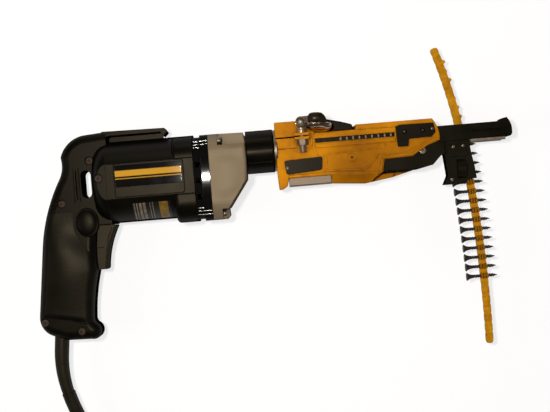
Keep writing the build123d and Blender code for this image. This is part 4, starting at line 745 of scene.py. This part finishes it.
# Adapter: a black moulded collar over the gear case's snout, with fine ribs along it and a spigot that the
# feeder clamps on. A bright steel ring lies round the spigot, against the collar.
collar_nylon = surface("collar_nylon", (0.0046, 0.0040, 0.0022), (0.0022, 0.002, 0.0012), (0.28, 0.34),
                       patch=60, grain=800, edge=0.8, sheen=0.07, tint=warm)
dress(collar_nylon, "adapter_collar")
dress(bright_steel, "adapter_ring")
collar_radius, rib_count, rib_first, rib_back, rib_front = 22, 10, 5, 3.0, 28.5
rib_section = ((-0.03, -0.2), (-0.012, 0.3), (0.012, 0.3), (0.03, -0.2))
collar_ribs = bmesh.new()
for step in range(rib_count):
    angle = math.radians(rib_first + 360 / rib_count * step)
    loft([[round_at(u, 0, collar_radius + lift, angle + turn) for turn, lift in rib_section]
          for u in (rib_back, rib_front)], collar_ribs)
piece("collar_ribs", collar_ribs, collar_nylon, "root")

# Feeder housing: two halves moulded in yellow plastic. Their light worn edges are partly wear and partly painted
# highlight, their corners get painted shade, and the front is darker, partly as painted shade and partly as soil.
# Raised panels, a ridge along the lower side and small ribs are moulded on the right half.
# Worn edges here are partly a painted highlight, and the corners get painted shade.
yellow = surface("yellow_moulding", (0.94, 0.360, 0.004), (0.52, 0.178, 0.003), (0.42, 0.52), patch=20,
                 grain=1000, grain_depth=0.04, edge=0.9, worn=(0.95, 0.50, 0.06), worn_share=0.85,
                 corner_shade=(0.20, 0.064, 0.004), sheen=0.09, tint=(1.0, 0.72, 0.3))
# Painted shade and soil: the housing darkens towards the front, less so on the top rail.
yellow_tree = yellow.node_tree
front_shade_and_soil = ramp(yellow_tree, along_axis(yellow_tree, "X"), at(70, 0).x, at(100, 0).x, way="SMOOTHSTEP")
low_shade_and_soil = ramp(yellow_tree, along_axis(yellow_tree, "Y"), at(0, 15).y, at(0, 1).y, 0.5, way="SMOOTHSTEP")
overlay(yellow, combined(yellow_tree, "MULTIPLY", front_shade_and_soil, low_shade_and_soil), (0.60, 0.57, 0.75, 1), "MULTIPLY")
dress(yellow, "feed_housing_right", "feed_housing_left")


def ribbon(points, half):
    """The outline of a flat strip of even width along points."""
    right, left = [], []
    for place, point in enumerate(points):
        before, after = Vector(points[max(place - 1, 0)]), Vector(points[min(place + 1, len(points) - 1)])
        along = (after - before).normalized()
        across = half * Vector((-along.y, along.x))
        right.append(tuple(Vector(point) - across))
        left.append(tuple(Vector(point) + across))
    return right + left[::-1]


rim_line = [(198.0, -2.0), (191.5, -3.2), (184, -7.2), (170.5, -15.2), (155, -16.0), (139.5, -16.4),
            (137.9, -20.5), (136.2, -28.6), (132.8, -31.6), (122, -31.0), (105, -29.6), (86, -28.2),
            (60, -28.2), (43, -28.4)]
lip_line = [(191.5, 0.2), (184.5, -2.8), (175, -8.0), (164, -12.2), (150, -12.8), (134.5, -13.0)]
panel_line = [(83.6, -25.4), (100, -26.0), (118.6, -26.8), (124.2, -25.2), (129.2, -19.6), (134.2, -14.8)]
feeder_panels = bmesh.new()
slab([(72.5, -1.6), (153.0, -1.6), (153.0, 2.8), (72.5, 2.8)], 19.0, 20.9, 0.6, feeder_panels)
slab([(62.5, 10.0), (72.0, 10.0), (72.0, 17.5), (66.0, 19.4), (62.5, 19.4)], 6.0, 19.8, 0.5, feeder_panels)
for line, half, low, high, rim in ((rim_line, 1.35, 18.5, 20.9, 0.8), (panel_line, 0.9, 19.5, 20.7, 0.6),
                                   ([(81.6, -10.4), (82.2, -16.0), (82.0, -24.0)], 0.8, 19.5, 20.6, 0.5),
                                   ([(84.0, -8.6), (110.0, -7.4), (138.0, -6.2)], 0.8, 19.5, 20.6, 0.5),
                                   (arc(58, 6, 10.6, -75, 15, 10), 1.0, 19.5, 21.6, 0.7)):
    slab(ribbon(line, half), low, high, rim, feeder_panels)
for line, height, radius in ((lip_line, 19.7, 0.8),
                             ([(70.2, 13), (70.4, 3), (70.2, -2.4), (72, -5), (73.6, -9)], 19.6, 1.2),
                             ([(79.8, -9.5), (81.2, -13), (81.6, -20), (79.6, -26)], 19.5, 1.0),
                             ([(38.5, 17.5), (42, 17.5), (47, 17.5)], 19.6, 0.7),
                             ([(116, 14.2), (135, 14.0), (152, 13.6)], 19.6, 0.8)):
    bead(line, height, radius, feeder_panels)
bead(arc(139, -5, 4, 0, 30, 12), 19.85, 0.5, feeder_panels, closed=True)
piece("feeder_panels", feeder_panels, yellow, "root")

# Black feeder parts: nylon mouldings that are fixed to the housing, such as the front plate and the rack, or
# move in it, such as the slide, the chute, the star wheel and the nose.
black_feed = surface("feed_nylon", (0.0085, 0.0072, 0.0042), (0.0018, 0.0016, 0.0010), (0.34, 0.46), patch=34,
                     grain=1200, worn=(0.045, 0.037, 0.022), sheen=0.09, tint=warm)
dress(black_feed, "front_plate", "depth_rack", "lever_cap", "feed_slide", "feed_chute", "feed_wheel",
      "nose_guide")
dress(nylon, "side_pad", "depth_adjuster")

# Fasteners of the feeder: small black and bright screws and pins in the front plate and the side. Longer
# steel screws join the two halves from the left.
facing_left = (math.pi, 0, 0)
plate_places = [(163, 7.5, 20.9), (181.5, 7.5, 20.9)]
plate_pin_places = [(163.2, 7.7, 21.3), (181.7, 7.7, 21.3)]
side_pin_places = [(42.2, -19.5, 21.3), (191.6, 8.6, 21.3)]
half_places = [(40.0, 23.5, -19.7), (156.0, 15.4, -19.7), (120.0, -37.0, -19.7)]
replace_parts(screws("front_screws", (2.25, 1.4, 1.2, 2.0), plate_places, black_feed), "plate_screws")
screws("side_pins", (1.4, 0.8, 0.8, 2.0), side_pin_places, bright_steel)
screws("plate_pins", (0.8, 0.6, 0.5, 1.6), plate_pin_places, bright_steel)
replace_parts(screws("half_screws", (3.2, 2.2, 1.6, 26.0), half_places, bright_steel, facing_left),
            "housing_screws")

# Depth scale: nine small zinc-plated bars that stand across the long slot of the housing. They are set
# between the black teeth of the rack.
dull_zinc = surface("dull_zinc", (0.26, 0.20, 0.145), (0.13, 0.098, 0.068), (0.45, 0.58), patch=300,
                    metal=0.7, streaks=(0.2, 1, 1))
scale_start, tooth_pitch = 72.48, 6.4
bar_places = [(scale_start + tooth_pitch * place, 5.8, 19.0) for place in range(4, 13)]
scale_bar = original("scale_bar", blocks([((-0.95, -1.9, -0.8), (0.95, 1.9, 0.8))], 0.3))
copies("scale_bars", scale_bar, bar_places, (0, 0, 0), dull_zinc, "root")

# Quick-release clamp: an eye bolt with washers and a nut, and a nickel-plated cam lever on a pin. The lever's
# tail is rolled, and a domed black cap and a rivet are fixed on it.
# The nickel's dark patches are painted reflection: they stand in for the dark surroundings that plated metal
# mirrors.
nickel = surface("nickel", (0.66, 0.50, 0.37), (0.12, 0.078, 0.05), (0.06, 0.11), patch=70, metal=1.0,
                 grain=600, grain_depth=0.01, edge=0.9, streaks=(1.0, 2.6, 1.0))
brassy = surface("brassy_washer", (0.46, 0.33, 0.21), (0.28, 0.19, 0.11), (0.36, 0.5), patch=200, metal=0.8)
lever_skin = surface("lever_skin", (0.028, 0.018, 0.010), (0.010, 0.0075, 0.0045), (0.2, 0.3), patch=160,
                     edge=0.8, sheen=0.12, tint=warm)
dress(nickel, "clamp_lever", "clamp_pin")
dress(dull_zinc, "clamp_bolt", "clamp_nut", "base_plate")
dress(brassy, "clamp_washers")
lever_cap_edge = [(66.0, 25.0), (68.4, 22.6), (76, 22.6), (82.5, 21.9), (85.2, 24.0), (84.4, 27.6),
                  (82.6, 30.8), (80.5, 32.8), (77.0, 33.7), (73.0, 33.9), (69.3, 33.7), (67.0, 32.0),
                  (65.8, 29.2)]
piece("lever_skirt", dome(lever_cap_edge, 31.0, 34.8), lever_skin, "clamp_lever", smooth=60.0)
# Stations along the rolled tail: u, then v of the ridge, of the lever's edge and of the foot, and the height
# of the ridge.
tail_stations = [(63.6, 23.6, 21.6, 20.4, 31.6), (65.4, 23.3, 19.6, 18.0, 32.6), (68, 23.0, 18.8, 16.2, 34.0),
                 (71, 22.8, 18.8, 15.0, 34.6), (74, 22.6, 18.8, 14.4, 34.8), (77, 22.4, 18.8, 13.8, 34.5),
                 (79, 22.2, 18.6, 13.6, 35.0), (81, 22.0, 18.0, 13.7, 34.5), (83, 21.8, 16.6, 13.9, 35.0),
                 (85, 21.5, 16.2, 14.4, 34.4), (87, 21.2, 16.3, 15.2, 34.5), (88.4, 20.8, 16.8, 16.0, 33.0),
                 (89.2, 20.3, 17.6, 17.0, 31.8)]
lever_base, lever_flat = 21.2, 31.6
tail_sections = []
for u, ridge, edge, foot, height in tail_stations:
    tail_section = [(ridge + 1.2, lever_base), (ridge + 1.2, height - 1.2), (ridge + 0.7, height - 0.35),
                    (ridge, height), (ridge - 0.8, height - 0.3),
                    (0.5 * (ridge + edge), 0.5 * (height + lever_flat) + 0.6), (edge, lever_flat),
                    (0.6 * edge + 0.4 * foot, 28.6), (0.25 * edge + 0.75 * foot, 24.8), (foot, lever_base)]
    tail_sections.append([at(u, v, w) for v, w in tail_section])
piece("lever_tail", loft(tail_sections), nickel, "clamp_lever", smooth=70.0)
rivet_profile = [(4.9, -0.8), (4.9, 0.5), (4.4, 0.9), (3.8, 0.5), (3.5, 0.2), (3.0, 0.9), (1.9, 1.3),
                 (0.8, 1.5)]
rivet_u, rivet_v, rivet_w = 59.05, 25.5, 33.0
lever_rivet = loft([[at(u, v, rivet_w + height) for u, v in arc(rivet_u, rivet_v, radius, 0, 11.25, 32)]
                    for radius, height in rivet_profile])
piece("lever_rivet", lever_rivet, bright_steel, "clamp_lever", smooth=25.0)

# Feed slide and chute: black mouldings that run in and out of the housing, with a wound spring behind them.
# A bright screw holds the slide's guide, rivets hold the chute together, and a panel is raised on its side.
dress(bright_steel, "nose_runners")
slide_places = [(180.4, -12.4, 16.1)]
rivet_places = [(223, -10.8, 9.3), (213, -11.2, 9.3), (209, -44.5, 9.1)]
screws("slide_screw", (4.0, 2.4, 2.0, 3.0), slide_places, bright_steel, body="slide")
screws("chute_rivets", (1.6, 0.9, 0.8, 2.0), rivet_places, bright_steel, body="slide")
chute_panel = slab(rounded(206.5, -21.5, 227.0, -8.8, 2.0), 8.0, 8.9, 0.4)
bead([(206.8, -24), (207.6, -34), (208.3, -46)], 8.2, 0.7, chute_panel)
piece("chute_panel", chute_panel, black_feed, "slide")
spring_back, spring_front, spring_radius, wire_radius = 66.4, 138.7, 9.3, 0.85
spring_turns, turn_steps = 13, 18
spring_sections = []
for step in range(spring_turns * turn_steps + 1):
    angle = math.pi / 2 - 2 * math.pi * step / turn_steps
    share = step / (spring_turns * turn_steps)
    u = spring_back + wire_radius + (spring_front - spring_back - 2 * wire_radius) * share
    spring_sections.append([round_at(u + along, 0, out, angle) for out, along in
                            arc(spring_radius, 0, wire_radius, 0, 45, 8)])
spring_piece = piece("spring_coil", loft(spring_sections), ground_steel, "root")
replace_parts(spring_piece, "return_spring")
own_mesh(spring_piece)
piece("nose_line", bead([(232.5, 3.6), (245, 3.4), (261, 3.0)], 12.2, 1.2), black_feed, "nose")

# Screw strip: an amber plastic band with a clip at each place that holds or held a screw. The clips over the
# screws look brown. Those of the used end are torn open, so that their stubs stick out at one edge.
amber_glow = (1.0, 0.75, 0.3)
amber = surface("amber_strip", (0.74, 0.345, 0.008), (0.46, 0.19, 0.005), (0.4, 0.5), patch=110, grain=700,
                edge=0.4, worn=(0.80, 0.44, 0.04), sheen=0.12, tint=amber_glow)
shaded_amber = surface("shaded_amber", (0.40, 0.155, 0.007), (0.22, 0.082, 0.005), (0.4, 0.5), patch=200,
                       grain=700, worn=(0.45, 0.22, 0.02), sheen=0.12, tint=amber_glow)
fill(amber.node_tree, amber.node_tree.nodes["Principled BSDF"],
     {"Subsurface Weight": 0.25, "Subsurface Radius": (0.003, 0.0014, 0.0004)})
strip_pitch = 9.75
strip_foot, strip_mid, strip_bend, strip_top = (236.05, -213), (230.25, -60), (223.35, 0), (203.05, 89.4)
band_half, band_low, band_high, band_rise, band_edge, end_round = 3.9, -6.2, -4.8, 2.2, 0.3, 3.0
loaded, empty, torn = range(-1, -16, -1), range(-16, -22, -1), range(4, 10)
stub_lengths = {1: 1.6, 2: 2.4, 3: 2.2, 4: 1.0, 5: 0.6, 6: 2.9, 7: 1.2, 8: 3.2}
neck_depth, stub_start, stub_lift, stub_reach = 0.35, 4, 0.7, 0.22
rise_start, rise_length, band_step = -47, 3, 0.65


def arc_through(*spots):
    """Centre and radius of the circle through three points."""
    first, second, third = (complex(*spot) for spot in spots)
    turn = (third - first) / (second - first)
    centre = first + (second - first) * (turn - abs(turn) ** 2) / (2j * turn.imag)
    return Vector((centre.real, centre.imag)), abs(first - centre)


lower_centre, lower_radius = arc_through(strip_foot, strip_mid, strip_bend)
bend_out = (Vector(strip_bend) - lower_centre).normalized()
bend_chord = Vector(strip_top) - Vector(strip_bend)
upper_radius = bend_chord.length_squared / (-2 * bend_chord.dot(bend_out))
upper_centre = Vector(strip_bend) - bend_out * upper_radius


def angle_about(centre, spot):
    """The angle of a spot as seen from a centre."""
    return math.atan2(spot[1] - centre.y, spot[0] - centre.x)


def strip_spot(length):
    """Centre of the strip and its right-hand normal, at a length above the drive line in millimetres."""
    centre, radius = (lower_centre, lower_radius) if length < 0 else (upper_centre, upper_radius)
    angle = angle_about(centre, strip_bend) + length / radius
    out = Vector((math.cos(angle), math.sin(angle)))
    return centre + out * radius, out


strip_low_end = lower_radius * (angle_about(lower_centre, strip_foot) - angle_about(lower_centre, strip_bend))
strip_high_end = upper_radius * (angle_about(upper_centre, strip_top) - angle_about(upper_centre, strip_bend))
band_length = strip_high_end - strip_low_end + 2 * end_round
band_samples = int(band_length / band_step)
band_sections = []
for step in range(band_samples + 1):
    length = strip_low_end - end_round + band_length * step / band_samples
    spot, out = strip_spot(length)
    past = max(strip_low_end - length, length - strip_high_end, 0.0)
    half = band_half * max(1 - (past / end_round) ** 2.5, 0.05) ** 0.4
    place = length / strip_pitch
    neck = neck_depth * (0.5 - 0.5 * math.cos(2 * math.pi * (place + 0.5))) ** 3
    left, right = neck - half, half - neck
    if length > stub_start:
        near = max(0.0, 1 - abs(place - round(place)) / stub_reach)
        right += stub_lift + stub_lengths.get(round(place), 0.0) * near ** 0.6
    top = band_high + band_rise * min(max((rise_start - length) / rise_length, 0.0), 1.0)
    band_section = ((left + band_edge, band_low), (left, band_low + band_edge), (left, top - band_edge),
                    (left + band_edge, top), (right - band_edge, top), (right, top - band_edge),
                    (right, band_low + band_edge), (right - band_edge, band_low))
    band_sections.append([at(spot.x + out.x * across, spot.y + out.y * across, height)
                          for across, height in band_section])
strip_band = piece("strip_band", loft(band_sections), amber, "strip")
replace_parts(strip_band, "screw_strip")
whole_clip, open_clip, torn_clip = [], [], []
for left, right in ((-3.7, -1.6), (-0.9, 0.9), (1.6, 3.7)):
    for near, far in ((-2.55, -1.95), (1.95, 2.55)):
        whole_clip.append(((left, near, -3.4), (right, far, 2.2)))
    whole_clip.append(((left, -2.4, 1.9), (right, 2.4, 2.7)))
for left, right in ((-3.7, -1.5), (1.5, 3.7)):
    for near, far in ((-2.9, -1.95), (1.95, 2.9)):
        open_clip.append(((left, near, -3.4), (right, far, -1.2)))
        torn_clip.append(((left, near, -5.4), (right - 0.4, far, -3.6)))
for name, clip, numbers, finish in (("loaded_clips", whole_clip, loaded, shaded_amber),
                                    ("empty_clips", open_clip, empty, amber),
                                    ("torn_clips", torn_clip, torn, amber)):
    spots, normals = zip(*(strip_spot(number * strip_pitch) for number in numbers))
    copies(name, original(name[:-1], blocks(clip, 0.25)), spots,
           [(0, 0, math.atan2(normal.y, normal.x)) for normal in normals], finish, "strip")

# Drywall screws: black phosphated steel with bugle heads and a coarse thread. Fifteen wait in the strip, and
# one stands in front of the bit.
phosphate = surface("phosphate", (0.05, 0.040, 0.031), (0.022, 0.018, 0.014), (0.42, 0.55), patch=300,
                    metal=0.5, grain=1600, edge=0.2)
facing_back = (0, math.radians(-90), 0)
screw_back, screw_sizes = 18.7, (4.1, 0.9, 1.75, 31.75, 2.6, 6.4)
strip_spots = [strip_spot(number * strip_pitch)[0] for number in loaded]
screw_places = [(spot.x - screw_back, spot.y) for spot in strip_spots]
first_place = (strip_bend[0] - screw_back, 0)
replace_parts(screws("waiting_screws", screw_sizes, screw_places, phosphate, facing_back, "strip"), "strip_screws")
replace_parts(screws("first_screw", screw_sizes, [first_place], phosphate, facing_back, "spindle"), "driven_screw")
